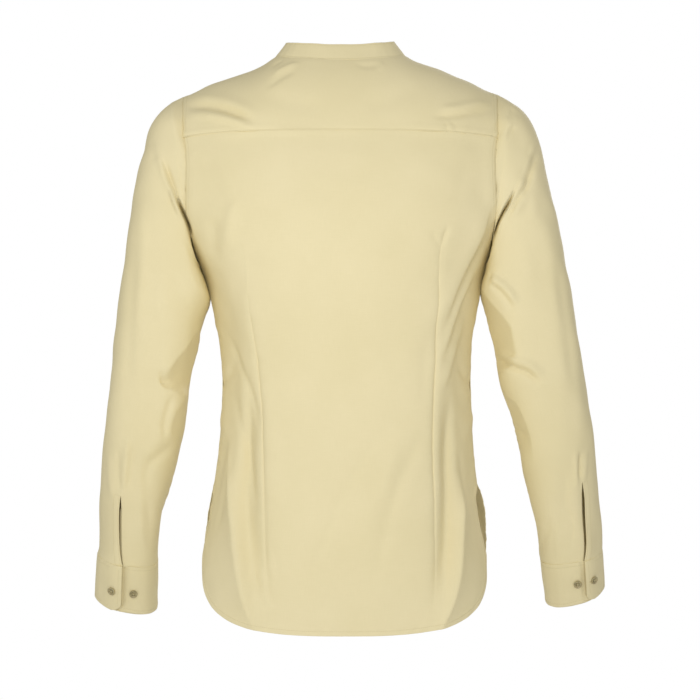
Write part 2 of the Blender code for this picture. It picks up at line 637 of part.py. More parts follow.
def make_back(collection):
    dart = DART["across"]
    inner, outer = np.linspace(0, dart - 0.055, 5), np.linspace(dart + 0.06, 1, 5)
    half_across = np.concatenate([inner, [dart - 0.022, dart, dart + 0.022], outer])
    across = np.concatenate([-half_across[:0:-1], half_across])
    top_drop = YOKE_DROP + YOKE_DIP * across**4
    angle, drop = panel_rows("back", top_drop, BACK_ROWS, across)
    drop[0] = yoke_seam_drop(body(angle[0], drop[0])[:, 0])
    grid = body_cloth(angle, drop)
    return cloth_piece(collection, "back", [inset(grid, ("first_row", "first_column", "last_column"))])


def shoulder_patch(inner, outer, rows, lift=0.0):
    """Points of the shoulders on straight lines, in x and share, from the neck seam to the outer edge."""
    t = np.linspace(0, 1, rows + 1)[:, None]
    x = inner[0] * (1 - t) + outer[0] * t
    share = inner[1] * (1 - t) + outer[1] * t
    return shoulder_cloth(x, share, lift)


def neck_angle_at_seam():
    """Angle round the neck at which the shoulder seam meets it."""
    angles = np.linspace(math.pi / 2, math.pi, 60)
    shares = neckline(angles)[1]
    return float(np.interp(SHOULDER_SEAM, -shares, angles))


def make_yoke(collection):
    over = split_steps((-SHOULDER_SEAM, 0.0, 1.0), (2, ARMHOLE_STEPS - 1))
    seam_angle = float(armhole_angle(np.array(YOKE_DROP + YOKE_DIP), "back"))
    back_angles = np.linspace(seam_angle, -seam_angle, 21)[1:-1]
    back_x = body(back_angles, np.full_like(back_angles, YOKE_DROP))[:, 0]
    outer_x = np.concatenate([armhole_x(1, over), back_x, armhole_x(-1, over[::-1])])
    outer_share = np.concatenate([over, np.ones_like(back_x), over[::-1]])
    seam = neck_angle_at_seam()
    inner = neckline(np.linspace(seam, -seam, len(outer_x)))
    grid = shoulder_patch(inner, (outer_x, outer_share), SHOULDER_ROWS)
    edges = ("first_row", "last_row", "first_column", "last_column")
    return cloth_piece(collection, "yoke", [inset(grid, edges)])


def make_front(collection, side):
    """One front: a shoulder part round the neck and a lower part, sewn along the chest line."""
    name = "left_front" if side > 0 else "right_front"
    across = np.linspace(0, 1, FRONT_COLUMNS + 1)
    angle, drop = panel_rows("front", np.full_like(across, CHEST_DROP), FRONT_ROWS, across)
    width = BODY.at("half_width", drop)
    centre_edge = (FRONT_OVERLAP / width) ** (1 / BODY_SQUARENESS)
    whole = math.pi - angle + centre_edge * (1 - across) ** 2
    lower_x = body(side * whole, drop)[..., 0]
    under = 0.0 if side > 0 else -UNDERLAP_SHIFT

    def tuck(x, drop):
        from_centre = side * (x - BODY.at("centre_x", drop))
        return under * smooth((FRONT_TUCK[0] - from_centre) / FRONT_TUCK[1])

    flare = FRONT_FLARE["left" if side > 0 else "right"] * slit_bulge(drop)
    lower = body_cloth(side * whole, drop, tuck(lower_x, drop) + flare * smooth((across - 0.55) / 0.4))
    over = -split_steps((SHOULDER_SEAM, 1.0), (ARMHOLE_STEPS,))
    outer_x = np.concatenate([armhole_x(side, over)[:-1], lower_x[0, ::-1]])
    outer_share = np.concatenate([over[:-1], -np.ones(len(across))])
    seam = neck_angle_at_seam()
    edge_turn = math.asin(FRONT_OVERLAP / NECK_HALF_WIDTH)
    neck_x, neck_share = neckline(np.linspace(seam, math.pi + edge_turn, len(outer_x)))
    t = np.linspace(0, 1, SHOULDER_ROWS + 1)[:, None]
    x = side * neck_x * (1 - t) + outer_x * t
    share = neck_share * (1 - t) + outer_share * t
    upper = shoulder_cloth(x, share, tuck(x, np.full_like(x, CHEST_DROP)))
    upper[-1, ARMHOLE_STEPS:] = lower[0, ::-1]
    upper = inset(upper, ("first_row", "first_column"))
    armhole = upper[-1, : ARMHOLE_STEPS + 1]
    toward = upper[-2, : ARMHOLE_STEPS + 1] - armhole
    armhole += toward / np.linalg.norm(toward, axis=-1, keepdims=True) * SEAM_GAP / 2
    lower = inset(lower, ("last_column",))
    lower[0, ::-1] = upper[-1, ARMHOLE_STEPS:]
    return cloth_piece(collection, name, [upper, lower])


def collar_cloth(angle, height, lift=0.0):
    """Collar stand: rises from the neck seam and leans in towards the neck."""
    def surface(a, b):
        x, share = neckline(a)
        base = shoulder(x, share)
        cosine = np.cos(a)
        end = np.where(cosine >= 0, COLLAR_LEAN["back"], COLLAR_LEAN["front"])
        lean = np.radians(COLLAR_LEAN["side"] + (end - COLLAR_LEAN["side"]) * cosine**2)
        inward = np.stack([-np.sin(a), -cosine, np.zeros_like(a)], axis=-1)
        up = np.array([0.0, 0.0, 1.0])
        return base + b[..., None] * (inward * np.sin(lean)[..., None] + up * np.cos(lean)[..., None])

    return lifted(surface, angle, height, lift, 1.0)


def corner_cut(from_end, radius):
    """How much a rounded corner takes off the edge, this far from the piece's end."""
    inside = np.clip(radius - from_end, 0, radius)
    return radius - np.sqrt(np.clip(radius**2 - inside**2, 0, None))


def make_collar(collection):
    lap = math.asin(FRONT_OVERLAP / NECK_HALF_WIDTH)
    end = math.pi + lap
    close = np.array([0.0, 0.012, 0.035, 0.075, 0.13])
    turn = np.concatenate([-end + close, np.linspace(-end + 0.2, end - 0.2, COLLAR_STEPS), end - close[::-1]])
    cut = corner_cut((end - np.abs(turn)) * NECK_HALF_WIDTH, COLLAR_CORNER)
    top = COLLAR_HEIGHT - cut
    rows = [COLLAR_SEAT + (top - COLLAR_SEAT) * t for t in (0.0, 0.5, 1.0)]
    # The right end lies under the left one.
    lift = -UNDERLAP_SHIFT * smooth((-turn - (math.pi - 0.55)) / 0.4)
    grid = np.stack([collar_cloth(turn, row, lift) for row in rows])
    return cloth_piece(collection, "collar", [grid], DOUBLE_CLOTH)


def make_sleeve(collection, name):
    slit = SLEEVE_SLIT[name]
    stations = np.concatenate(
        [
            [0.0, 0.5, 1.0, 1.75, 2.5, 3.5, 4.5, 5.5],
            np.linspace(6.5, slit["top"] - 0.7, 11),
            [slit["top"], slit["top"] + 0.35],
            np.linspace(slit["top"] + 0.9, CUFF_SEAM, 4),
        ]
    )
    across = np.linspace(0, 1, SLEEVE_COLUMNS_ROUND + 1)
    station = np.repeat(stations[:, None], len(across), axis=1)
    share = slit_share(name, station) + across[None, :]
    below = smooth((station - slit["top"]) / 0.5)
    open_run = np.clip((station - slit["top"]) / (CUFF_SEAM - slit["top"]), 0, 1)
    opening = SLIT_OPENING / WRIST_GIRTH * np.sin(math.pi * open_run ** 0.7) + 0.0008 * (open_run > 0)
    share = share + (1 - across[None, :]) ** 8 * opening / 2 - across[None, :] ** 8 * opening / 2
    lift = below * UNDERLAP_SHIFT * (across[None, :] - 0.5) * np.abs(2 * across[None, :] - 1)
    grid = sleeve_cloth(name, share, station, lift)
    closed = station[:, 0] <= slit["top"]
    grid[closed, -1] = grid[closed, 0]
    grid = inset(grid, ("last_row",))
    return cloth_piece(collection, f"{name}_sleeve", [grid])


def make_sleeve_placket(collection, name):
    """Bound strip under the sleeve's slit, on which the slit's free edge lies."""
    slit = SLEEVE_SLIT[name]
    stations = np.linspace(slit["top"] + 0.45, CUFF_SEAM - 0.06, 7)
    across = np.linspace(-0.25, 0.75, 4) * PLACKET_WIDTH / WRIST_GIRTH
    station = np.repeat(stations[:, None], len(across), axis=1)
    share = slit_share(name, station) + across[None, :]
    grid = sleeve_cloth(name, share, station, -PLACKET_DEPTH)
    return cloth_piece(collection, f"{name}_sleeve_placket", [grid])


def cuff_point(name, turn, along, lift=0.0):
    """Point of a cuff: turn 0 is its under end, 1 its lapping end; along 0 is the seam and 1 the edge."""
    share = slit_share(name, np.full_like(turn, CUFF_SEAM)) - CUFF_LAP + turn * (1 + CUFF_LAP)
    station = CUFF_SEAM + (CUFF_END - CUFF_SEAM) * along
    spiral = (UNDERLAP_SHIFT + 0.0004) * (turn - 0.5)
    flip = -1.0 if name == "left" else 1.0

    def surface(a, b):
        return sleeve(name, a, b)

    return lifted(surface, share, station, spiral + lift, flip)


def make_cuff(collection, name):
    ends = np.array([0.0, 0.0015, 0.0045, 0.009, CUFF_CORNER]) / CUFF_GIRTH
    turn = np.concatenate([np.linspace(0, 1 - ends[-1], CUFF_STEPS), 1 - ends[-2::-1]])
    first = SEAM_GAP / CUFF_LENGTH
    last = 1 - corner_cut((1 - turn) * CUFF_GIRTH, CUFF_CORNER) / CUFF_LENGTH
    grid = np.stack([cuff_point(name, turn, first + (last - first) * t) for t in (0.0, 0.35, 0.7, 1.0)])
    return cloth_piece(collection, f"{name}_cuff", [grid], DOUBLE_CLOTH)


def make_button(collection, name, seat, outward):
    """Turned button with a raised rim, lying on its seat with its axis along outward."""
    radius, thick = BUTTON_RADIUS, BUTTON_THICKNESS
    profile = (
        (0.0, thick * 0.62),
        (radius * 0.52, thick * 0.62),
        (radius * 0.74, thick),
        (radius * 0.93, thick * 0.92),
        (radius, thick * 0.5),
        (radius * 0.8, 0.0),
        (0.0, 0.0),
    )
    mesh = bpy.data.meshes.new(name)
    mesh.from_pydata([(r, 0.0, h) for r, h in profile], [(i, i + 1) for i in range(len(profile) - 1)], [])
    button = bpy.data.objects.new(name, mesh)
    collection.objects.link(button)
    mesh.materials.append(material("shell_button"))
    turned = button.modifiers.new("turned", "SCREW")
    turned.steps = turned.render_steps = 12
    turned.use_merge_vertices = True
    turned.merge_threshold = 0.00002
    button.location = Vector(seat)
    button.rotation_euler = Vector(outward).to_track_quat("Z", "Y").to_euler()
    return button


def seat_on(points_at, lift):
    """Place and direction of a button on a cloth function that takes a lift."""
    low, high = points_at(0.0), points_at(lift)
    outward = (high - low) / np.linalg.norm(high - low)
    return high, outward


def centre_front(drop, lift):
    """Point of the centre front line, on the shoulder part above the chest line and on the body below."""
    if drop >= CHEST_DROP:
        return body_cloth(np.array(math.pi), np.array(drop), lift)
    shares = np.linspace(0, 1, 50)
    drops = -shoulder(np.zeros(50), -shares)[:, 2]
    return shoulder_cloth(np.array(0.0), np.array(-np.interp(drop, drops, shares)), lift)


def make_buttons(collection):
    on_cloth = CLOTH / 2 + SEAM_GAP
    on_double = DOUBLE_CLOTH / 2 + SEAM_GAP
    for number, drop in enumerate(FRONT_BUTTON_DROPS, 1):
        seat, outward = seat_on(lambda lift: centre_front(drop, lift), on_cloth)
        make_button(collection, f"front_button_{number}", seat, outward)
    middle = np.array(COLLAR_HEIGHT / 2)
    seat, outward = seat_on(lambda lift: collar_cloth(np.array(math.pi), middle, lift), on_double)
    make_button(collection, "collar_button", seat, outward)
    for name in ("left", "right"):
        # One holds the lapping end; the spare one for a tighter cuff sits past it.
        for label, turn in CUFF_BUTTON_TURNS.items():
            place = np.array(turn), np.array(CUFF_BUTTON_ALONG[name])
            seat, outward = seat_on(lambda lift: cuff_point(name, *place, lift), on_double)
            make_button(collection, f"{name}_cuff_{label}_button", seat, outward)


def main():
    collection = start_scene()
    make_back(collection)
    make_yoke(collection)
    for side in (1, -1):
        make_front(collection, side)
    make_collar(collection)
    for name in ("left", "right"):
        make_sleeve(collection, name)
        make_sleeve_placket(collection, name)
        make_cuff(collection, name)
    make_buttons(collection)


main()
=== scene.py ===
import math

import bmesh
import bpy
import numpy as np
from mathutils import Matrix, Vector


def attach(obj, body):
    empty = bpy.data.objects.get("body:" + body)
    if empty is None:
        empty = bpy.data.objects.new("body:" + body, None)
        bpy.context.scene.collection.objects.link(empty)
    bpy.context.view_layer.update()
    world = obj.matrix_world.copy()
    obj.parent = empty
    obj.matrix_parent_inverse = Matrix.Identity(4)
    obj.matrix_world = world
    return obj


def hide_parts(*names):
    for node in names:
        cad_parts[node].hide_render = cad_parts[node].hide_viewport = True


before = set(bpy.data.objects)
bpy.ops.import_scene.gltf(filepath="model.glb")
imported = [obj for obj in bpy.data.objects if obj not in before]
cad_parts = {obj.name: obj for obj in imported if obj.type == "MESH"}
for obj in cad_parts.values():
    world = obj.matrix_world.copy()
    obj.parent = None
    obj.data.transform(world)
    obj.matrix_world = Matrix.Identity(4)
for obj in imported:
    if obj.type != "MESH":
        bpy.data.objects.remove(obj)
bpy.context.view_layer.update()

# A mandarin collar shirt filled out as worn, in metres: +Z is up, the front faces -Y and the wearer's
# left arm is at +X. Heights are written as drops below the origin, in the middle of the neck opening.
print("frame loaded:", len(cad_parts), "nodes")

seamGap = 0.0003     # between two pieces sewn edge to edge
underlapDepth = 0.0026     # how far an underlap lies below the piece over it
yokeSeam = {"drop": 0.098, "dip": 0.007}
sideSeam = {"underarm": 0.255, "slit": 0.556}
chestDrop = 0.130     # where the shoulder part of a front turns into the body's section
neck = {"halfWidth": 0.0835, "back": 0.057, "front": 0.066, "squareness": 0.8, "seamShare": 0.30}
frontOverlap = 0.016

bodySizes = {
    "drop": (0.090, 0.105, 0.130, 0.165, 0.200, 0.235, 0.255, 0.285, 0.312, 0.350, 0.400, 0.442, 0.494,
             0.546, 0.598, 0.650, 0.690, 0.760),
    "halfWidth": (0.2125, 0.2131, 0.2140, 0.2146, 0.2104, 0.1975, 0.1895, 0.1795, 0.1740, 0.1658, 0.1612,
                  0.1612, 0.1640, 0.1695, 0.1780, 0.1875, 0.1900, 0.1890),
    "back": (0.098, 0.101, 0.108, 0.115, 0.119, 0.119, 0.117, 0.112, 0.108, 0.102, 0.097, 0.097, 0.103,
             0.111, 0.117, 0.119, 0.119, 0.118),
    "front": (0.086, 0.092, 0.101, 0.112, 0.120, 0.124, 0.125, 0.124, 0.122, 0.119, 0.116, 0.114, 0.113,
              0.113, 0.114, 0.115, 0.116, 0.116),
    "centre": (-0.0010, -0.0010, -0.0010, -0.0015, -0.0020, -0.0025, -0.0030, -0.0050, -0.0065, -0.0068,
               -0.0082, -0.0086, -0.0082, -0.0074, -0.0066, -0.0062, -0.0062, -0.0062),
}
bodySquareness = 0.80     # power of sine and cosine: 1 is an ellipse, less is squarer

ridgeSizes = {
    "x": (0.000, 0.050, 0.082, 0.098, 0.113, 0.128, 0.150, 0.170, 0.187, 0.204, 0.220),
    "left": (-0.0200, -0.0160, -0.0042, 0.0064, 0.0138, 0.0194, 0.0272, 0.0340, 0.0420, 0.0486, 0.0560),
    "right": (-0.0200, -0.0160, -0.0058, 0.0014, 0.0070, 0.0122, 0.0220, 0.0297, 0.0385, 0.0452, 0.0528),
}
shoulderSizes = {"tip": 0.2035, "forward": 0.006, "back": (0.60, 0.50), "front": (0.35, 0.42)}
armhole = {"middle": 0.165, "back": 0.058, "front": 0.060, "upper": 0.095}


def sizeAt(sizes, name, key, along="drop"):
    # value between two rows: a cubic whose slope at each row comes from the rows beside it
    keys, values = np.array(sizes[along], float), np.array(sizes[name], float)
    slopes = np.gradient(values, keys)
    key = np.clip(key, keys[0], keys[-1])
    i = np.clip(np.searchsorted(keys, key, side="right") - 1, 0, len(keys) - 2)
    width = keys[i + 1] - keys[i]
    t = (key - keys[i]) / width
    rise = values[i] * (1 + 2 * t) * (1 - t) ** 2 + values[i + 1] * t * t * (3 - 2 * t)
    return rise + slopes[i] * width * t * (1 - t) ** 2 - slopes[i + 1] * width * t * t * (1 - t)


def smooth(t):
    t = np.clip(t, 0, 1)
    return t * t * (3 - 2 * t)


def bodyY(x, drop, half):
    # depth of the body's section at x: the superellipse solved for y, positive on the back
    across = np.abs(x - sizeAt(bodySizes, "centre", drop)) / sizeAt(bodySizes, "halfWidth", drop)
    rest = 1 - np.clip(across, 0, 1) ** (2 / bodySquareness)
    y = sizeAt(bodySizes, half, drop) * rest ** (bodySquareness / 2)
    return y if half == "back" else -y


def bodyPoint(angle, drop):
    # superellipse section at a drop: half width times sine and depth times cosine, each to a power;
    # the angle runs from the centre back to the wearer's left
    sine, cosine = np.sin(angle), np.cos(angle)
    depth = np.where(cosine >= 0, sizeAt(bodySizes, "back", drop), sizeAt(bodySizes, "front", drop))
    half = sizeAt(bodySizes, "halfWidth", drop)
    x = sizeAt(bodySizes, "centre", drop) + half * np.sign(sine) * np.abs(sine) ** bodySquareness
    y = depth * np.sign(cosine) * np.abs(cosine) ** bodySquareness
    return np.stack([x, y, -drop + 0 * x], axis=-1)


def yokeSeamDrop(x):
    # level at the centre and lower towards the armholes, by the fourth power of x
    return yokeSeam["drop"] + yokeSeam["dip"] * (np.abs(x) / shoulderSizes["tip"]) ** 4


def shoulderPoint(x, share):
    # Bezier curve at each x, from the ridge (share 0) level outwards, then down along the body to the
    # yoke seam (share 1) or the chest line (share -1)
    tip = shoulderSizes["tip"]
    ridgeY = -shoulderSizes["forward"] * (x / tip) ** 2
    left, right = (sizeAt(ridgeSizes, name, np.abs(x), "x") for name in ("left", "right"))
    side = np.where(x >= 0, left, right)
    t = np.abs(share)
    weights = (1 - t) ** 3, 3 * t * (1 - t) ** 2, 3 * t * t * (1 - t), t**3
    ends = {}
    for half, endDrop in (("back", yokeSeamDrop(x)), ("front", chestDrop + 0 * x)):
        endY = bodyY(x, endDrop, half)
        slope = (bodyY(x, endDrop + 0.002, half) - endY) / 0.002
        lead, rise = shoulderSizes[half]
        run = rise * (endDrop - side)
        stopsY = ridgeY, ridgeY + lead * (endY - ridgeY), endY - slope * run, endY
        stopsDrop = side, side, endDrop - run, endDrop
        ends[half] = [sum(w * stop for w, stop in zip(weights, stops)) for stops in (stopsY, stopsDrop)]
    y = np.where(share >= 0, ends["back"][0], ends["front"][0])
    drop = np.where(share >= 0, ends["back"][1], ends["front"][1])
    return np.stack([x + 0 * share, y, -drop], axis=-1)


def neckLine(angle):
    # (x, share) of the neck seam: an ellipse seen from above, squarer at the back, whose share of the way
    # down the shoulders is found by halving
    sine, cosine = np.sin(angle), np.cos(angle)
    behind = cosine >= 0
    power = np.where(behind, neck["squareness"], 1.0)
    x = neck["halfWidth"] * np.sign(sine) * np.abs(sine) ** power
    y = np.where(behind, neck["back"], neck["front"]) * np.sign(cosine) * np.abs(cosine) ** power
    low, high = np.full(np.shape(x), -1.0), np.full(np.shape(x), 1.0)
    for _ in range(40):
        middle = (low + high) / 2
        past = shoulderPoint(x, middle)[..., 1] > y
        low, high = np.where(past, low, middle), np.where(past, middle, high)
    return x, (low + high) / 2


def armholeAngle(drop, half):
    # angle of the body's section where the egg-shaped armhole cuts it
    below = drop - armhole["middle"]
    rise = np.where(below > 0, sideSeam["underarm"] - armhole["middle"], armhole["upper"])
    y = armhole[half] * np.sqrt(np.clip(1 - (below / rise) ** 2, 0, 1))
    turn = np.arccos(np.clip(y / sizeAt(bodySizes, half, drop), 0, 1) ** (1 / bodySquareness))
    return turn if half == "back" else np.pi - turn


def armholeX(side, share):
    # x of the armhole's edge over the shoulder: from the tip to its ends by the square of the share
    ends = [
        bodyPoint(side * armholeAngle(np.array(drop), half), np.array(drop))[0]
        for half, drop in (("back", yokeSeam["drop"] + yokeSeam["dip"]), ("front", chestDrop))
    ]
    tip = side * shoulderSizes["tip"]
    return tip + (np.where(share >= 0, ends[0], ends[1]) - tip) * share**2


def gridNormals(points, inside, wrap=False):
    # cross product of the grid's two directions, by central differences, turned away from the inside
    across = np.gradient(points, axis=1)
    if wrap:
        padded = np.concatenate([points[:, -2:-1], points, points[:, 1:2]], axis=1)
        across = np.gradient(padded, axis=1)[:, 1:-1]
    normal = np.cross(across, np.gradient(points, axis=0))
    normal /= np.maximum(np.linalg.norm(normal, axis=-1, keepdims=True), 1e-12)
    outward = np.sum(normal * (points - inside)) >= 0
    return normal if outward else -normal


def edgeRuns(points):
    # distance from the top and from the left edge of a grid, measured along its own lines
    down = np.linalg.norm(np.diff(points, axis=0), axis=-1)
    along = np.linalg.norm(np.diff(points, axis=1), axis=-1)
    fromTop = np.concatenate([np.zeros((1, points.shape[1])), np.cumsum(down, axis=0)])
    fromLeft = np.concatenate([np.zeros((points.shape[0], 1)), np.cumsum(along, axis=1)], axis=1)
    return {"top": fromTop, "left": fromLeft}


def roundedPath(path):
    # a line of points with its corners cut twice, a quarter of the way along each side
    path = np.array(path, float)
    for _ in range(2):
        inner = np.stack([path[:-1] * 0.75 + path[1:] * 0.25, path[:-1] * 0.25 + path[1:] * 0.75], axis=1)
        path = np.concatenate([path[:1], inner.reshape(-1, 2), path[-1:]])
    return path


def foldHeight(x, drop, folds):
    # sum over the folds of height times a bell of the distance to the fold's line, with its own width
    # on each side of the line, fading out over the last part of each end; a fifth value is the bell's power
    total = np.zeros(np.shape(x))
    for path, widthPlus, widthMinus, height, *power in folds:
        line = roundedPath(path)
        steps = np.linalg.norm(np.diff(line, axis=0), axis=1)
        starts = np.concatenate([[0], np.cumsum(steps)])
        nearest = np.full(np.shape(x), 1e9)
        signed, place = np.zeros(np.shape(x)), np.zeros(np.shape(x))
        for i, length in enumerate(steps):
            dx, dd = (line[i + 1] - line[i]) / length
            t = np.clip((x - line[i, 0]) * dx + (drop - line[i, 1]) * dd, 0, length)
            awayX, awayD = x - line[i, 0] - t * dx, drop - line[i, 1] - t * dd
            square = awayX**2 + awayD**2
            closer = square < nearest
            nearest = np.where(closer, square, nearest)
            signed = np.where(closer, awayX * dd - awayD * dx, signed)
            place = np.where(closer, starts[i] + t, place)
        away = np.sqrt(nearest) / np.where(signed >= 0, widthPlus, widthMinus)
        ends = smooth(0.1 + place / starts[-1] / 0.3) * smooth(0.1 + (1 - place / starts[-1]) / 0.3)
        total += height * np.exp(-(away ** (power[0] if power else 2))) * ends
    return total


def softWaves(u, v, seed, wave, height, count=9):
    # sum of sines in seeded directions, with wavelengths around the one given
    random = np.random.default_rng(seed)
    total = np.zeros(np.shape(u))
    for _ in range(count):
        turn, phase = random.uniform(0, math.pi), random.uniform(0, 2 * math.pi)
        size = wave * random.uniform(0.7, 1.8)
        total += np.sin(2 * math.pi * (u * math.cos(turn) + v * math.sin(turn)) / size + phase)
    return total * height / math.sqrt(count)


# How each kind of edge is sewn: the width turned in, how far it stands proud, how strongly it puckers, how
# deep its stitches pull it in, and how far from the edge each row of them runs.
felledRows = (0.0012, 0.0062)
seams = {
    "hem": {"turned": 0.0065, "step": 0.00045, "pucker": 0.00035, "groove": 0.00026, "rows": (0.0058,)},
    "armhole": {"turned": 0.0070, "step": 0.00035, "pucker": 0.00022, "groove": 0.00026, "rows": felledRows},
    "yokeArm": {"turned": 0.0070, "step": 0.00035, "pucker": 0.00018, "groove": 0.00026, "rows": felledRows},
    "yoke": {"turned": 0.0080, "step": 0.00040, "pucker": 0.00030, "groove": 0.00045, "rows": (0.0015,)},
    "shoulder": {"turned": 0.0080, "step": 0.00030, "pucker": 0.00014, "groove": 0.00026, "rows": (0.0015,)},
}


def seamRelief(kind, away, points, seed):
    # a turned edge that stands proud as far as its width, a groove where each row of stitches pulls it
    # in, and small slanting puckers beside it that die away from the edge
    look = seams[kind]
    relief = look["step"] * (1 - smooth((away - look["turned"]) / 0.0008))
    for place in look["rows"]:
        relief -= look["groove"] * np.exp(-(((away - place) / 0.0009) ** 2))
    slant = points[..., 0] + points[..., 1] + points[..., 2]
    uneven = softWaves(slant, 0 * slant, seed, 0.013, 1.0, 5)
    return relief + look["pucker"] * uneven * np.exp(-((away / 0.013) ** 2))


def crowdedSteps(length, spacing, fineStart=True, fineEnd=True):
    # distances along a length: fine steps beside a sewn edge and even ones between
    fine = np.array([0, 0.0004, 0.0011, 0.0019, 0.0030, 0.0044, 0.0055, 0.0064, 0.0072, 0.0082, 0.0100])
    first = fine if fineStart else np.array([0.0])
    last = length - fine[::-1] if fineEnd else np.array([length])
    count = max(int((last[0] - first[-1]) / spacing), 2)
    return np.concatenate([first, np.linspace(first[-1], last[0], count + 1)[1:-1], last])


def material(name):
    return bpy.data.materials[name]


def newObject(name, mesh):
    piece = bpy.data.objects.new(name.replace(" ", "_"), mesh)
    bpy.context.scene.collection.objects.link(piece)
    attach(piece, "root")
    return piece


def turnOutwards(mesh, sewWithin=0.0):
    # points that lie together become one where asked, and every face points outwards
    work = bmesh.new()
    work.from_mesh(mesh)
    if sewWithin:
        bmesh.ops.remove_doubles(work, verts=work.verts, dist=sewWithin)
    bmesh.ops.recalc_face_normals(work, faces=work.faces)
    work.to_mesh(mesh)
    work.free()


def clothPiece(name, grids, thickness, node):
    # grids of points become quads, are sewn where they meet, and get a wall by Solidify; the UV map
    # is in metres along the cloth, so that the weave keeps its scale
    vertices, faces, uvs, start = [], [], [], 0
    for points in grids:
        rows, columns = points.shape[:2]
        index = np.arange(rows * columns).reshape(rows, columns) + start
        quads = np.stack([index[:-1, :-1], index[1:, :-1], index[1:, 1:], index[:-1, 1:]], axis=-1)
        runs = edgeRuns(points)
        u = runs["left"] - runs["left"][:, columns // 2, None]
        v = np.repeat(np.mean(runs["top"], axis=1)[:, None], columns, axis=1)
        vertices.append(points.reshape(-1, 3))
        faces.append(quads.reshape(-1, 4))
        uvs.append(np.stack([u, v], axis=-1).reshape(-1, 2))
        start += rows * columns
    vertices, faces, uvs = np.concatenate(vertices), np.concatenate(faces), np.concatenate(uvs)
    mesh = bpy.data.meshes.new(name)
    mesh.from_pydata(vertices.tolist(), [], faces.tolist())
    mesh.uv_layers.new(name="cloth").data.foreach_set("uv", uvs[faces.reshape(-1)].reshape(-1))
    turnOutwards(mesh, sewWithin=2e-6)
    mesh.materials.append(material("stretch cotton poplin"))
    mesh.shade_smooth()
    piece = newObject(name, mesh)
    wall = piece.modifiers.new("wall", "SOLIDIFY")
    wall.thickness = thickness
    wall.offset = 0
    shading = piece.modifiers.new("flat faces first", "WEIGHTED_NORMAL")
    shading.weight = 80
    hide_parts(node)
    return piece


def distanceTo(points, line):
    # distance from every point of a grid to a line of points, segment by segment
    nearest = np.full(points.shape[:-1], 1.0)
    for start, end in zip(line[:-1], line[1:]):
        along = end - start
        length = max(float(along @ along), 1e-12)
        t = np.clip((points - start) @ along / length, 0, 1)[..., None]
        nearest = np.minimum(nearest, np.sum((points - start - t * along) ** 2, axis=-1))
    return np.sqrt(nearest)


def lineAt(points, normals, away, distance, axis):
    # the line on a grid at one distance from an edge, found between two grid lines; the distance grows
    # from the edge along the axis named
    if axis == 1:
        points, normals, away = points.swapaxes(0, 1), normals.swapaxes(0, 1), away.T
    if away[0, away.shape[1] // 2] > away[-1, away.shape[1] // 2]:
        points, normals, away = points[::-1], normals[::-1], away[::-1]
    i = np.clip(np.argmax(away >= distance, axis=0), 1, len(away) - 1)
    column = np.arange(away.shape[1])
    low, high = away[i - 1, column], away[i, column]
    t = np.clip((distance - low) / np.maximum(high - low, 1e-9), 0, 1)[:, None]
    return points[i - 1, column] * (1 - t) + points[i, column] * t, normals[i, column]


threadSizes = {"pitch": 0.0027, "length": 0.0021, "width": 0.00036, "height": 0.00024, "clear": 0.00004}


def unit(vectors):
    return vectors / np.maximum(np.linalg.norm(vectors, axis=-1, keepdims=True), 1e-9)


def threadBars(middle, forward, up, sizes):
    # each bar of thread is two square rings closed to a point at both ends, where it dips into the cloth
    aside = unit(np.cross(up, forward))
    up = np.cross(forward, aside)
    ring = [(-1, -1), (1, -1), (1, 1), (-1, 1)]
    places = [(-1, 0, -1.2), *((end, a, b) for end in (-0.62, 0.62) for a, b in ring), (1, 0, -1.2)]
    places = np.array(places) * (sizes["length"] / 2, sizes["width"] / 2, sizes["height"] / 2)
    parts = zip((forward, aside, up), (places[:, 0], places[:, 1], places[:, 2]))
    return middle[:, None] + sum(axis[:, None] * place[None, :, None] for axis, place in parts)


def stitchRow(line, normals, lift, sizes=threadSizes):
    # bars of thread at equal steps along a line, as far above it as the cloth is thick
    if len(line) < 3:
        return np.zeros((0, 10, 3))
    run = np.concatenate([[0], np.cumsum(np.linalg.norm(np.diff(line, axis=0), axis=1))])
    places = np.arange(sizes["pitch"] / 2, run[-1] - sizes["pitch"] / 2, sizes["pitch"])

    def at(values, where):
        return np.stack([np.interp(where, run, values[:, k]) for k in range(3)], axis=-1)

    half = sizes["length"] / 2
    forward = unit(at(line, places + half) - at(line, places - half))
    up = unit(at(normals, places))
    return threadBars(at(line, places) + up * lift, forward, up, sizes)


def seamRow(cloth, away, distance, axis, window=np.s_[:, :], keep=np.s_[:]):
    # a row of stitches on the outer face of a cloth, given as points, normals and thickness, at a distance
    # from an edge: found in a window of the grid and cut to the stretch kept
    points, normals, thickness = cloth
    line, up = lineAt(points[window], normals[window], away[window], distance, axis)
    return stitchRow(line[keep], up[keep], thickness / 2 + threadSizes["clear"])


def bandRows(cloth, away, distance, inner, upright, ends):
    # stitches round a collar or cuff: along its two long edges and up both of its ends
    rows = [seamRow(cloth, field, distance, 0, np.s_[:, inner]) for field in away.values()]
    return rows + [seamRow(cloth, away["free"], distance, 1, np.s_[upright, part]) for part in ends]


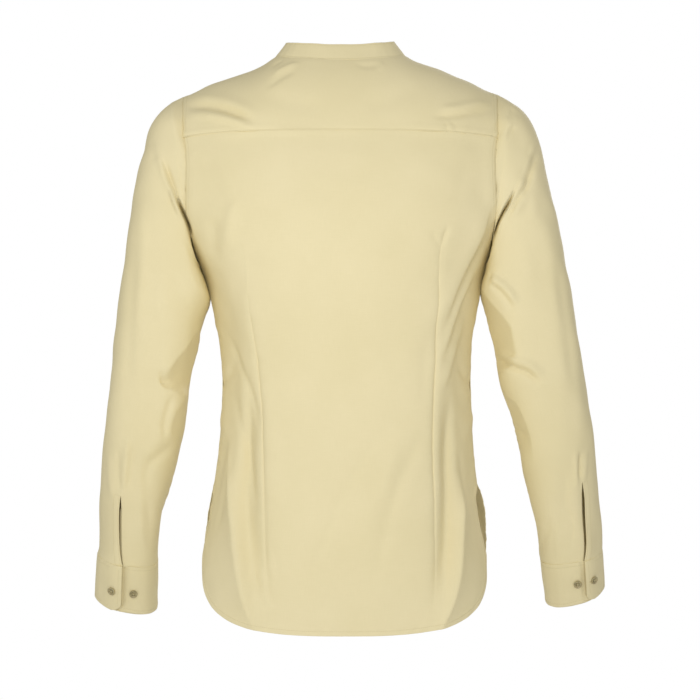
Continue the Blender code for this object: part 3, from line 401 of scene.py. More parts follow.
def threadPiece(name, rows):
    # all the stitches of one piece of the shirt, as one mesh
    corners = np.concatenate(rows)
    ends = [(0, 2, 1), (0, 3, 2), (0, 4, 3), (0, 1, 4), (9, 5, 6), (9, 6, 7), (9, 7, 8), (9, 8, 5)]
    sides = [(1, 2, 6, 5), (2, 3, 7, 6), (3, 4, 8, 7), (4, 1, 5, 8)]
    starts = np.arange(len(corners))[:, None, None] * 10
    faces = [(np.array(group)[None] + starts).reshape(-1, len(group[0])).tolist() for group in (ends, sides)]
    mesh = bpy.data.meshes.new(name)
    mesh.from_pydata(corners.reshape(-1, 3).tolist(), [], faces[0] + faces[1])
    turnOutwards(mesh)
    mesh.materials.append(material("polyester sewing thread"))
    piece = newObject(name, mesh)
    return piece


armholeEase = {"out": 0.0085, "reach": 0.021, "top": 0.052, "full": 0.085, "fade": 0.185, "end": 0.232}


def easedPoints(points):
    # the cloth runs smoothly across the armhole seams: out along y by a bell of the distance to the seam,
    # in full between two levels and running out above and below them
    drop = -points[..., 2]
    look = armholeEase
    level = smooth((drop - look["top"]) / (look["full"] - look["top"]))
    level = level * (1 - smooth((drop - look["fade"]) / (look["end"] - look["fade"])))
    move = np.zeros(points.shape[:-1])
    for side in (1, -1):
        ends = ("back", 1, yokeSeam["drop"] + yokeSeam["dip"]), ("front", -1, chestDrop)
        for half, sign, endDrop in ends:
            over = sign * np.linspace(0.1, 1, 16)
            low = np.linspace(endDrop, look["end"], 24)[1:]
            top = shoulderPoint(armholeX(side, over), over)
            seam = np.concatenate([top, bodyPoint(side * armholeAngle(low, half), low)])
            bell = np.exp(-((distanceTo(points, seam) / look["reach"]) ** 2))
            move += sign * bell * level * smooth(sign * points[..., 1] / 0.02)
    return points + np.stack([0 * move, look["out"] * move, 0 * move], axis=-1)


# The crease between sleeve and body runs on over the armhole: narrow and as deep as a fingertip.
armholeFolds = (
    (
        ((0.2085, 0.1840), (0.2037, 0.1940), (0.1992, 0.2040), (0.1952, 0.2130), (0.1922, 0.2215),
         (0.1900, 0.2300)),
        0.0019, 0.0019, 0.0260, 3.0,
    ),
    (
        ((-0.2220, 0.1794), (-0.2157, 0.1896), (-0.2080, 0.2024), (-0.2029, 0.2139), (-0.1997, 0.2253),
         (-0.1972, 0.2350)),
        0.0014, 0.0014, 0.0240, 3.0,
    ),
)


def withArmholeFolds(points):
    # drawn forward along y on the back half, so that both cloths of the seam go in together
    depth = foldHeight(points[..., 0], -points[..., 2], armholeFolds)
    depth = depth * smooth((points[..., 1] - 0.010) / 0.02)
    return points - np.stack([0 * depth, depth, 0 * depth], axis=-1)


def linear(code):
    # sRGB hex to linear light
    values = np.array([int(code[i : i + 2], 16) / 255 for i in (1, 3, 5)])
    return (*np.where(values <= 0.04045, values / 12.92, ((values + 0.055) / 1.055) ** 2.4), 1.0)


def addNode(tree, kind, settings=None, links=None):
    # one node with its settings, and its inputs given as values or as (node, output) to link from
    node = tree.nodes.new(kind)
    for name, value in (settings or {}).items():
        setattr(node, name, value)
    for name, value in (links or {}).items():
        socket = node.inputs[name]
        if isinstance(value, tuple) and isinstance(value[0], bpy.types.Node):
            tree.links.new(value[0].outputs[value[1]], socket)
        else:
            socket.default_value = value
    return node


def setRamp(ramp, *stops):
    # place and sRGB colour of both ends of a ramp
    for end, (position, code) in zip(ramp.color_ramp.elements, stops):
        end.position, end.color = position, linear(code)


def startMaterial(name):
    made = bpy.data.materials.new(name)
    made.use_nodes = True
    made.node_tree.nodes.clear()
    return made.node_tree


# Stretch cotton poplin: a tight plain weave of combed cotton with a little elastane, dyed in the piece and
# finished smooth. To the eye it is a clean matt cloth with a soft bloom where it turns away.
poplinSettings = {
    "light": "#E9DCB1",
    "deep": "#E4D7AA",
    "roughness": 0.62,
    "sheen": 0.06,
    "bloom": "#E4D6A4",
    "threadPitch": 0.0011,     # real threads lie 0.22 mm apart; drawn five times as coarse to show
    "weaveHeight": 0.00002,
    "slubHeight": 0.00005,     # thicker lengths of yarn, 8 to 25 mm long
}


def makePoplin():
    tree, look = startMaterial("stretch cotton poplin"), poplinSettings
    cloth = addNode(tree, "ShaderNodeUVMap", {"uv_map": "cloth"})
    axes = addNode(tree, "ShaderNodeSeparateXYZ", links={"Vector": (cloth, 0)})
    turns = math.pi / look["threadPitch"]
    waves, slubs = [], []
    for axis, stretch in enumerate(((60.0, 900.0, 1.0), (900.0, 60.0, 1.0))):
        scaled = addNode(tree, "ShaderNodeMath", {"operation": "MULTIPLY"}, {0: (axes, axis), 1: turns})
        waves.append(addNode(tree, "ShaderNodeMath", {"operation": "SINE"}, {0: (scaled, 0)}))
        along = addNode(tree, "ShaderNodeMapping", links={"Vector": (cloth, 0), "Scale": stretch})
        noise = {"Vector": (along, 0), "Scale": 1.0, "Detail": 1.0}
        slubs.append(addNode(tree, "ShaderNodeTexNoise", {"noise_dimensions": "2D"}, noise))
    weave = addNode(tree, "ShaderNodeMath", {"operation": "MULTIPLY"}, {0: (waves[0], 0), 1: (waves[1], 0)})
    slub = addNode(tree, "ShaderNodeMath", {"operation": "ADD"}, {0: (slubs[0], 0), 1: (slubs[1], 0)})
    place = addNode(tree, "ShaderNodeTexCoord")
    patchNoise = {"Vector": (place, "Object"), "Scale": 9.0, "Detail": 3.0}
    patches = addNode(tree, "ShaderNodeTexNoise", links=patchNoise)
    parts = {0: (slub, 0), 1: 0.25, 2: (patches, 0)}
    mixed = addNode(tree, "ShaderNodeMath", {"operation": "MULTIPLY_ADD"}, parts)
    ramp = addNode(tree, "ShaderNodeValToRGB", links={"Fac": (mixed, 0)})
    setRamp(ramp, (0.55, look["deep"]), (1.0, look["light"]))
    threads = {"Height": (weave, 0), "Distance": look["weaveHeight"], "Strength": 0.35}
    woven = addNode(tree, "ShaderNodeBump", links=threads)
    lengths = {"Height": (slub, 0), "Distance": look["slubHeight"], "Strength": 0.25, "Normal": (woven, 0)}
    slubbed = addNode(tree, "ShaderNodeBump", links=lengths)
    shader = addNode(
        tree,
        "ShaderNodeBsdfPrincipled",
        links={
            "Base Color": (ramp, 0),
            "Roughness": look["roughness"],
            "IOR": 1.45,
            "Specular IOR Level": 0.25,     # fibres scatter what a film would mirror
            "Sheen Weight": look["sheen"],
            "Sheen Roughness": 0.5,
            "Sheen Tint": linear(look["bloom"]),
            "Normal": (slubbed, 0),
        },
    )
    addNode(tree, "ShaderNodeOutputMaterial", links={"Surface": (shader, 0)})


# Core-spun polyester sewing thread, dyed to match the cloth and smoother than it; its colour is set a touch
# deeper than the cloth as painted shade of the stitch holes, so that a row of stitches reads as a fine line.
def makeThread():
    tree = startMaterial("polyester sewing thread")
    place = addNode(tree, "ShaderNodeTexCoord")
    noise = {"Vector": (place, "Object"), "Scale": 700.0, "Detail": 1.0}
    twist = addNode(tree, "ShaderNodeTexNoise", links=noise)
    ramp = addNode(tree, "ShaderNodeValToRGB", links={"Fac": (twist, 0)})
    # both ends sit a touch below the cloth's tone: painted shade of the stitch holes, as the real thread
    # matches the cloth
    setRamp(ramp, (0.0, "#C4B787"), (1.0, "#D2C698"))
    finish = {"Base Color": (ramp, 0), "Roughness": 0.5, "IOR": 1.5, "Sheen Weight": 0.1}
    shader = addNode(tree, "ShaderNodeBsdfPrincipled", links=finish)
    addNode(tree, "ShaderNodeOutputMaterial", links={"Surface": (shader, 0)})


# Cast polyester button resin, turned from a dyed sheet and tumbled: a hard semi-gloss face with faint
# cloudy streaks, a little darker than the cloth.
def makeResin():
    tree = startMaterial("moulded polyester button resin")
    place = addNode(tree, "ShaderNodeTexCoord")
    stretch = {"Vector": (place, "Object"), "Scale": (160.0, 160.0, 420.0)}
    stretched = addNode(tree, "ShaderNodeMapping", links=stretch)
    streaks = {"Vector": (stretched, 0), "Scale": 1.0, "Detail": 3.0, "Distortion": 1.2}
    cloud = addNode(tree, "ShaderNodeTexNoise", links=streaks)
    ramp = addNode(tree, "ShaderNodeValToRGB", links={"Fac": (cloud, 0)})
    setRamp(ramp, (0.3, "#8F8158"), (0.75, "#B9AB7F"))
    polish = {"Base Color": (ramp, 0), "Roughness": 0.28, "IOR": 1.54}
    polish.update({"Subsurface Weight": 0.05, "Coat Weight": 0.15})
    shader = addNode(tree, "ShaderNodeBsdfPrincipled", links=polish)
    addNode(tree, "ShaderNodeOutputMaterial", links={"Surface": (shader, 0)})


# Matt white paper floor: plain, evenly rough, with no pattern.
def makePaper():
    tree = startMaterial("matt white studio paper")
    place = addNode(tree, "ShaderNodeTexCoord")
    noise = {"Vector": (place, "Object"), "Scale": 3.0, "Detail": 2.0}
    fibre = addNode(tree, "ShaderNodeTexNoise", links=noise)
    ramp = addNode(tree, "ShaderNodeValToRGB", links={"Fac": (fibre, 0)})
    setRamp(ramp, (0.0, "#F4F4F4"), (1.0, "#FAFAFA"))
    shader = addNode(tree, "ShaderNodeBsdfPrincipled", links={"Base Color": (ramp, 0), "Roughness": 0.9})
    addNode(tree, "ShaderNodeOutputMaterial", links={"Surface": (shader, 0)})


makePoplin()
makeThread()
makeResin()
makePaper()
print("materials made")


backSettings = {
    "thickness": 0.0007,
    "hem": {"drop": 0.7385, "flat": 2.35, "round": 2.40, "corner": 60.0},
    "gape": {"left": 0.02, "right": 0.10},     # radians by which its edge draws away from the front's
    "slitRun": 0.085,     # how far down the side slit it does so
    "spacing": 0.0031,
}
frontSettings = {
    "thickness": 0.0007,
    "hem": {"drop": 0.7200, "flat": 2.35, "round": 2.40, "corner": 60.0},
    "flare": {"left": 0.0012, "right": 0.0055},     # how far its tail stands out past the back's
    "spacing": 0.0034,
    "placketWidth": 0.032,
    "tuck": (0.050, 0.028),     # from the centre line: where the underlap starts to sink, and over how much
    "split": 0.20,     # share of the columns that stand upright beside the centre edge
    "upright": 0.028,     # how far from the centre line these reach
    "run": 0.215,     # nominal width of the others
    "rise": 0.125,     # nominal height above the chest line
}
underarmTurn = 0.024     # how far above the underarm the rows crowd, where the armhole turns
panels = {"back": backSettings, "front": frontSettings}
darts = {
    "drop": (0.250, 0.320, 0.386, 0.446, 0.505, 0.560, 0.630, 0.700),
    "left": (35.0, 41.0, 40.3, 38.2, 35.5, 32.3, 28.0, 24.0),
    "right": (36.0, 39.3, 40.7, 39.2, 37.8, 36.8, 33.8, 31.0),
}
dartShape = {
    "top": {"left": 0.300, "right": 0.225}, "bottom": 0.705, "width": 0.0045, "depth": 0.0038, "across": 0.44,
    "pucker": 0.00045,
}

# Folds of the back as seen from behind: the line's points as x and drop, its half width on the +x and on
# the -x side, its height outwards and, where it isn't 2, the power of its bell.
backFolds = (
    (((-0.1930, 0.1881), (-0.1790, 0.2274), (-0.1588, 0.2781), (-0.1461, 0.3060), (-0.1321, 0.3478)),
     0.0130, 0.0046, 0.0054),
    (((-0.1828, 0.2655), (-0.1651, 0.3048), (-0.1474, 0.3453), (-0.1283, 0.3897)), 0.0070, 0.0042, 0.0040),
    (((-0.1702, 0.3364), (-0.1550, 0.3732), (-0.1309, 0.4302)), 0.0080, 0.0050, 0.0034),
    (((-0.2031, 0.2046), (-0.1879, 0.2376), (-0.1702, 0.2819), (-0.1550, 0.3136)), 0.0040, 0.0060, -0.0026),
    (((-0.1600, 0.5291), (-0.1588, 0.5671), (-0.1537, 0.6242), (-0.1474, 0.6736), (-0.1310, 0.7200),
      (-0.1130, 0.7620)), 0.0110, 0.0160, 0.0125, 1.0),
    (((-0.1440, 0.4302), (-0.1440, 0.4911), (-0.1425, 0.5671), (-0.1375, 0.6432), (-0.1255, 0.7066)),
     0.0120, 0.0080, -0.0105),
    (((-0.1144, 0.2262), (-0.1220, 0.2376), (-0.1283, 0.2490)), 0.0030, 0.0035, -0.0013),
    (((-0.1385, 0.2173), (-0.1321, 0.2350), (-0.1283, 0.2502)), 0.0035, 0.0030, -0.0013),
    (((0.1315, 0.1818), (0.1404, 0.2148), (0.1442, 0.2502)), 0.0080, 0.0090, 0.0026),
    (((0.1594, 0.2059), (0.1632, 0.2376), (0.1568, 0.2655)), 0.0090, 0.0080, -0.0026),
    (((0.1568, 0.3555), (0.1366, 0.3909), (0.1176, 0.4264), (0.1074, 0.4607), (0.1036, 0.4911)),
     0.0050, 0.0050, -0.0023),
    (((0.1454, 0.4302), (0.1340, 0.4809), (0.1188, 0.5342), (0.1061, 0.5925)), 0.0060, 0.0080, -0.0030),
    (((0.1535, 0.4850), (0.1480, 0.5290), (0.1416, 0.5735), (0.1328, 0.6280), (0.1226, 0.6787),
      (0.1125, 0.7142),
      (0.0980, 0.7560)), 0.0170, 0.0110, 0.0120, 1.0),
    (((0.1150, 0.4050), (0.1230, 0.4700), (0.1265, 0.5300), (0.1240, 0.5900), (0.1160, 0.6447),
      (0.1020, 0.7050)),
     0.0090, 0.0180, -0.0115),
    (((0.0884, 0.6128), (0.0808, 0.6432), (0.0745, 0.6685)), 0.0040, 0.0050, -0.0009),
    (((0.1138, 0.6559), (0.1061, 0.6711), (0.0985, 0.6837)), 0.0025, 0.0025, -0.0014),
    (((0.1036, 0.6432), (0.0985, 0.6749), (0.0909, 0.7040)), 0.0040, 0.0040, 0.0009),
    (((-0.0738, 0.4632), (-0.0358, 0.5063), (-0.0067, 0.5570), (0.0174, 0.6178), (0.0390, 0.6685),
      (0.0529, 0.6913)),
     0.0110, 0.0110, -0.0022),
    (((-0.0916, 0.4759), (-0.0612, 0.5291), (-0.0333, 0.5925), (-0.0155, 0.6432)), 0.0120, 0.0120, 0.0016),
    (((-0.1119, 0.4708), (-0.0865, 0.5215), (-0.0650, 0.5747), (-0.0498, 0.6381), (-0.0434, 0.6787)),
     0.0090, 0.0090, -0.0018),
    (((-0.0738, 0.4860), (-0.0637, 0.5291), (-0.0561, 0.5671)), 0.0070, 0.0070, 0.0009),
    (((0.0504, 0.2376), (0.0605, 0.3136), (0.0707, 0.3897)), 0.0160, 0.0160, -0.0010),
    (((0.0719, 0.4657), (0.0681, 0.5291), (0.0605, 0.5925)), 0.0120, 0.0120, -0.0009),
    (((-0.1144, 0.3516), (-0.1068, 0.4049), (-0.1093, 0.4531)), 0.0080, 0.0080, -0.0010),
    (((-0.0155, 0.1615), (-0.0067, 0.2629), (-0.0003, 0.3516)), 0.0200, 0.0200, -0.0007),
    (((0.1708, 0.1235), (0.1594, 0.1565), (0.1492, 0.1869)), 0.0080, 0.0080, -0.0008),
    (((-0.1651, 0.1235), (-0.1550, 0.1615), (-0.1474, 0.1932)), 0.0100, 0.0100, -0.0008),
)
yokeFolds = (
    (((0.2000, 0.0632), (0.1707, 0.0645), (0.1401, 0.0708), (0.1069, 0.0887)), 0.0050, 0.0040, -0.0044),
    (((0.1937, 0.0734), (0.1630, 0.0785), (0.1375, 0.0849), (0.1095, 0.0940)), 0.0040, 0.0070, 0.0038),
    (((0.1988, 0.0530), (0.1605, 0.0555), (0.1273, 0.0657), (0.0993, 0.0836)), 0.0040, 0.0080, 0.0024),
    (((0.0508, 0.0083), (0.0686, 0.0147), (0.0865, 0.0249)), 0.0030, 0.0030, 0.0018),
    (((0.0559, 0.0185), (0.0737, 0.0275), (0.0942, 0.0428)), 0.0050, 0.0035, -0.0018),
    (((0.0725, 0.0032), (0.0814, 0.0083), (0.0891, 0.0147)), 0.0030, 0.0030, -0.0016),
    (((-0.1151, 0.0811), (-0.1559, 0.0760), (-0.1967, 0.0657)), 0.0040, 0.0035, -0.0030),
    (((-0.1253, 0.0708), (-0.1610, 0.0657), (-0.1941, 0.0555)), 0.0070, 0.0040, 0.0030),
    (((-0.1393, 0.0862), (-0.1406, 0.0938), (-0.1418, 0.1015)), 0.0022, 0.0022, 0.0012),
    (((-0.1355, 0.0849), (-0.1355, 0.0938), (-0.1355, 0.1015)), 0.0016, 0.0016, -0.0011),
    (((-0.1469, 0.0862), (-0.1469, 0.0938), (-0.1482, 0.1015)), 0.0016, 0.0016, -0.0008),
    (((-0.0181, 0.0071), (-0.0334, 0.0147), (-0.0513, 0.0096)), 0.0040, 0.0040, -0.0013),
    (((-0.0487, 0.0071), (-0.0564, 0.0122), (-0.0487, 0.0198)), 0.0030, 0.0030, 0.0009),
    (((0.1146, 0.0453), (0.0635, 0.0632), (0.0125, 0.0683)), 0.0120, 0.0120, -0.0012),
    (((-0.1023, 0.0377), (-0.0666, 0.0581), (-0.0258, 0.0683)), 0.0120, 0.0120, -0.0012),
)
# Folds of the hidden front, of the same sizes and unevenness.
frontFolds = (
    (((0.196, 0.212), (0.178, 0.262), (0.150, 0.322), (0.126, 0.372)), 0.006, 0.012, 0.0036),
    (((0.186, 0.246), (0.162, 0.300), (0.134, 0.362)), 0.005, 0.007, -0.0028),
    (((-0.194, 0.214), (-0.172, 0.268), (-0.146, 0.318), (-0.118, 0.356)), 0.012, 0.006, 0.0036),
    (((-0.186, 0.252), (-0.158, 0.306), (-0.128, 0.352)), 0.007, 0.005, -0.0026),
    (((0.152, 0.360), (0.122, 0.408), (0.090, 0.452), (0.066, 0.486)), 0.009, 0.010, 0.0024),
    (((0.150, 0.392), (0.112, 0.440), (0.078, 0.474)), 0.006, 0.008, -0.0022),
    (((-0.150, 0.398), (-0.118, 0.444), (-0.084, 0.474)), 0.010, 0.009, 0.0022),
    (((-0.146, 0.430), (-0.110, 0.468), (-0.076, 0.492)), 0.008, 0.006, -0.0020),
    (((0.138, 0.520), (0.124, 0.580), (0.112, 0.640), (0.104, 0.700)), 0.008, 0.014, 0.0034),
    (((0.112, 0.540), (0.100, 0.610), (0.092, 0.680)), 0.010, 0.009, -0.0026),
    (((-0.136, 0.528), (-0.120, 0.596), (-0.108, 0.660), (-0.102, 0.706)), 0.013, 0.008, 0.0034),
    (((-0.112, 0.550), (-0.098, 0.616), (-0.090, 0.690)), 0.009, 0.010, -0.0026),
    (((0.176, 0.118), (0.148, 0.150), (0.112, 0.184)), 0.009, 0.011, 0.0020),
    (((-0.176, 0.114), (-0.146, 0.150), (-0.106, 0.188)), 0.011, 0.009, 0.0020),
    (((0.082, 0.200), (0.092, 0.270), (0.088, 0.340)), 0.015, 0.015, -0.0012),
    (((-0.084, 0.206), (-0.094, 0.280), (-0.086, 0.350)), 0.015, 0.015, -0.0012),
    (((0.030, 0.294), (0.054, 0.302), (0.084, 0.322)), 0.004, 0.005, -0.0009),
    (((0.030, 0.470), (0.052, 0.480), (0.080, 0.506)), 0.004, 0.005, -0.0010),
    (((-0.030, 0.382), (-0.054, 0.394), (-0.082, 0.416)), 0.005, 0.004, -0.0010),
    (((-0.030, 0.558), (-0.052, 0.572), (-0.076, 0.604)), 0.005, 0.004, -0.0010),
)
# Folds of both flanks as seen from the side: y and drop.
flankFolds = (
    (((0.060, 0.262), (0.020, 0.300), (-0.030, 0.330)), 0.008, 0.010, -0.0022),
    (((-0.066, 0.270), (-0.030, 0.318), (0.010, 0.356)), 0.009, 0.008, 0.0020),
    (((0.050, 0.392), (0.010, 0.420), (-0.040, 0.430)), 0.008, 0.007, -0.0018),
    (((-0.050, 0.448), (-0.004, 0.462), (0.040, 0.492)), 0.008, 0.008, 0.0016),
    (((0.050, 0.500), (0.056, 0.560), (0.048, 0.620)), 0.010, 0.010, -0.0018),
    (((-0.050, 0.510), (-0.058, 0.580), (-0.050, 0.640)), 0.010, 0.010, -0.0018),
)


def hemDrop(angle, half):
    # superellipse from the flat of the tail up to the side slit
    hem = panels[half]["hem"]
    fromCentre = np.clip(np.abs(angle) / (math.pi / 2), 0, 1)
    height = 1 - (1 - fromCentre ** hem["flat"]) ** (1 / hem["round"])
    return hem["drop"] - (hem["drop"] - sideSeam["slit"]) * height


def edgeAngle(drop, half):
    # angle from the centre of a panel's side edge: the armhole, then the side seam, then the hem's side
    hem = panels[half]["hem"]
    arm = armholeAngle(np.minimum(drop, sideSeam["underarm"]), half)
    arm = arm if half == "back" else math.pi - arm
    height = np.clip((hem["drop"] - drop) / (hem["drop"] - sideSeam["slit"]), 0, 1)
    tail = math.pi / 2 * (1 - (1 - height) ** hem["round"]) ** (1 / hem["flat"])
    tail = np.where(drop > sideSeam["slit"], tail, math.pi / 2)
    return np.where(drop < sideSeam["underarm"], arm, tail)


def slitBulge(drop):
    # 0 at both ends of the side slit's upper run and 1 inside it, by a sine
    return np.sin(math.pi * np.clip((drop - sideSeam["slit"]) / backSettings["slitRun"], 0, 1) ** 0.6)


def dartAngle(side, drop):
    # angle of a dart from the centre back, by its table
    return np.radians(np.where(side >= 0, sizeAt(darts, "left", drop), sizeAt(darts, "right", drop)))


def panelRows(half, topEdge):
    # drops of a panel's rows at its side edge, from its upper edge to the hem's corner, and that corner's
    look, under = panels[half], sideSeam["underarm"]
    cornerDrop = float(hemDrop(math.radians(look["hem"]["corner"]), half))
    upper = topEdge + crowdedSteps(under - underarmTurn - topEdge, look["spacing"], half == "back", False)
    bend = under - underarmTurn * (1 - np.linspace(0, 1, 14)[1:]) ** 2
    lower = under + crowdedSteps(cornerDrop - under, look["spacing"], False, True)[1:]
    return np.concatenate([upper, bend, lower])[:, None], cornerDrop


def backGrid(topDrop, across):
    # (angle, drop) of the back: rows follow the yoke seam at the top and the hem at the bottom, columns run
    # from side to side, and one of them follows each dart
    topEdge = topDrop[-1]
    edge, cornerDrop = panelRows("back", topEdge)
    share = (edge - topEdge) / (cornerDrop - topEdge)
    place, split = np.abs(across)[None, :], dartShape["across"]
    dart, gape = dartAngle(across[None, :], edge), backSettings["gape"]
    gape = np.where(across > 0, gape["left"], gape["right"])[None, :]
    side = edgeAngle(edge, "back") - gape * slitBulge(edge)
    outer = dart + (side - dart) * (place - split) / (1 - split)
    angle = np.sign(across)[None, :] * np.where(place < split, dart * place / split, outer)
    hem = hemDrop(angle[-1], "back")[None, :]
    return angle, edge + (hem - cornerDrop) * share**2 + (topDrop[None, :] - topEdge) * (1 - share) ** 2


def dartRelief(angle, drop):
    # a stitched crease that runs out at both ends, with small uneven puckers beside it
    top = np.where(angle > 0, dartShape["top"]["left"], dartShape["top"]["right"])
    run = np.clip((drop - top) / (dartShape["bottom"] - top), 0, 1)
    depth = np.sin(math.pi * run) ** 0.6
    away = np.abs(np.abs(angle) - dartAngle(angle, drop)) * sizeAt(bodySizes, "halfWidth", drop)
    crease = -dartShape["depth"] * depth * np.exp(-away / dartShape["width"])
    uneven = softWaves(drop, np.sign(angle) * 0.4 + 0 * drop, 11, 0.017, 1.0, 6)
    return crease + dartShape["pucker"] * uneven * np.exp(-away / 0.009) * (run > 0) * (run < 1)


flankHollow = {
    "back": 0.0105, "front": 0.0030, "top": 0.215, "full": 0.330, "low": 0.590, "fadeRun": 0.125,
    "frontEdge": 44.0, "power": 1.15,
}


def flankRelief(angle, drop):
    # the cloth bends at each dart and runs flatter from there to the side seam: a hollow by a power of
    # the sine, deepest just over half way round
    look = flankHollow
    turn = np.abs(np.arctan2(np.sin(angle), np.cos(angle)))
    behind = turn < math.pi / 2
    dart = np.where(behind, dartAngle(angle, drop), math.radians(look["frontEdge"]))
    away = np.where(behind, turn, math.pi - turn)
    t = np.clip((away - dart) / (math.pi / 2 - dart), 0, 1)
    level = smooth((drop - look["top"]) / (look["full"] - look["top"]))
    level = level * (1 - smooth((drop - look["low"]) / look["fadeRun"]))
    depth = np.where(behind, look["back"], look["front"])
    return -depth * level * np.sin(math.pi * t ** look["power"])


def bodyRelief(points, normals, angle, drop, folds):
    # folds seen from the front or back, folds seen from the side, and a slight unevenness all over
    facing, sideways = np.abs(normals[..., 1]), np.abs(normals[..., 0])
    relief = foldHeight(points[..., 0], drop, folds) * smooth((facing - 0.12) / 0.35)
    free = smooth((drop - 0.300) / 0.05)     # below the sleeve that rests against the flank
    relief += foldHeight(points[..., 1], drop, flankFolds) * smooth((sideways - 0.6) / 0.3) * free
    around = angle * 0.17
    uneven = softWaves(around, drop, 5, 0.050, 0.00022) + softWaves(around, drop * 0.6, 8, 0.13, 0.0006)
    uneven *= smooth((np.abs(np.cos(angle)) - 0.02) / 0.12)
    return relief + uneven + flankRelief(angle, drop)


def tailEdge(drop):
    # where a side edge runs free, from just below the side seam to just above the hem's corner
    return (drop > sideSeam["slit"] + 0.006) & (drop < drop[-1] - 0.004)


def makeBack():
    # the body's section from side to side, with folds, darts and seams raised along its normals; columns
    # lie close together beside each dart and at the side edges
    look, split = backSettings, dartShape["across"]
    fine = np.array([0.0022, 0.0058, 0.0110])
    outer = split + crowdedSteps(0.13, look["spacing"], False, True) / 0.13 * (1 - split)
    inner = np.linspace(0, split - 0.020, int(0.105 / look["spacing"]))
    place = np.concatenate([inner, split - fine[::-1], [split], split + fine, outer[outer > split + 0.016]])
    across = np.concatenate([-place[:0:-1], place])
    topDrop = yokeSeam["drop"] + yokeSeam["dip"] * across**4
    angle, drop = backGrid(topDrop, across)
    drop[0] = yokeSeamDrop(bodyPoint(angle[0], drop[0])[:, 0])
    points = easedPoints(bodyPoint(angle, drop))
    normals = gridNormals(points, points * (0, 0, 1))
    slit = int(np.searchsorted(drop[:, 0], sideSeam["slit"]))
    hemLine = np.concatenate([points[slit:, 0], points[-1], points[slit:, -1][::-1]])
    away = {
        "hem": distanceTo(points, hemLine),
        "left": distanceTo(points, points[: slit + 1, 0]),
        "right": distanceTo(points, points[: slit + 1, -1]),
        "top": distanceTo(points, points[0]),
    }
    felled = np.minimum(away["left"], away["right"])
    relief = seamRelief("hem", away["hem"], points, 3)
    relief += seamRelief("armhole", felled, points, 4)
    relief += bodyRelief(points, normals, angle, drop, backFolds) * smooth(away["top"] / 0.012)
    relief += dartRelief(angle, drop)
    points = withArmholeFolds(points + normals * relief[..., None])
    normals = gridNormals(points, points * (0, 0, 1))
    piece = clothPiece("back cloth", [points], look["thickness"], "back")

    cloth, middle = (points, normals, look["thickness"]), len(across) // 2
    inside = (away["left"][-1] > 0.02) & (away["right"][-1] > 0.02)
    rows = [seamRow(cloth, away["hem"], seams["hem"]["rows"][0], 0, keep=inside)]
    for side, column, half in (("left", 0, np.s_[:, :middle]), ("right", -1, np.s_[:, middle:])):
        rows.append(seamRow(cloth, away["hem"], seams["hem"]["rows"][0], 1, half, tailEdge(drop[:, column])))
        rows += [seamRow(cloth, away[side], place, 1, half, np.s_[:slit]) for place in felledRows]
    return piece, threadPiece("back stitching", rows)


back, backStitching = makeBack()
print("back made")


def shoulderRelief(points, x, share, neckAway):
    # folds of the yoke behind the ridge and of the front before it, none beside the neck
    drop = -points[..., 2]
    behind = smooth((share + 0.02) / 0.16)
    relief = foldHeight(x, drop, yokeFolds) * behind
    relief = relief + foldHeight(x, drop, frontFolds) * smooth((-share - 0.1) / 0.25)
    uneven = softWaves(x, points[..., 1], 21, 0.050, 0.00025) + softWaves(x, points[..., 1], 22, 0.12, 0.0007)
    return (relief + uneven) * smooth((neckAway - 0.002) / 0.014)


yokeSettings = {"thickness": 0.0007, "spacing": 0.0030, "run": 0.115, "acrossBack": 126, "overArm": 50}


def neckSeamAngle():
    # angle round the neck at which the shoulder seam meets it
    angles = np.linspace(math.pi / 2, math.pi, 60)
    return float(np.interp(neck["seamShare"], -neckLine(angles)[1], angles))


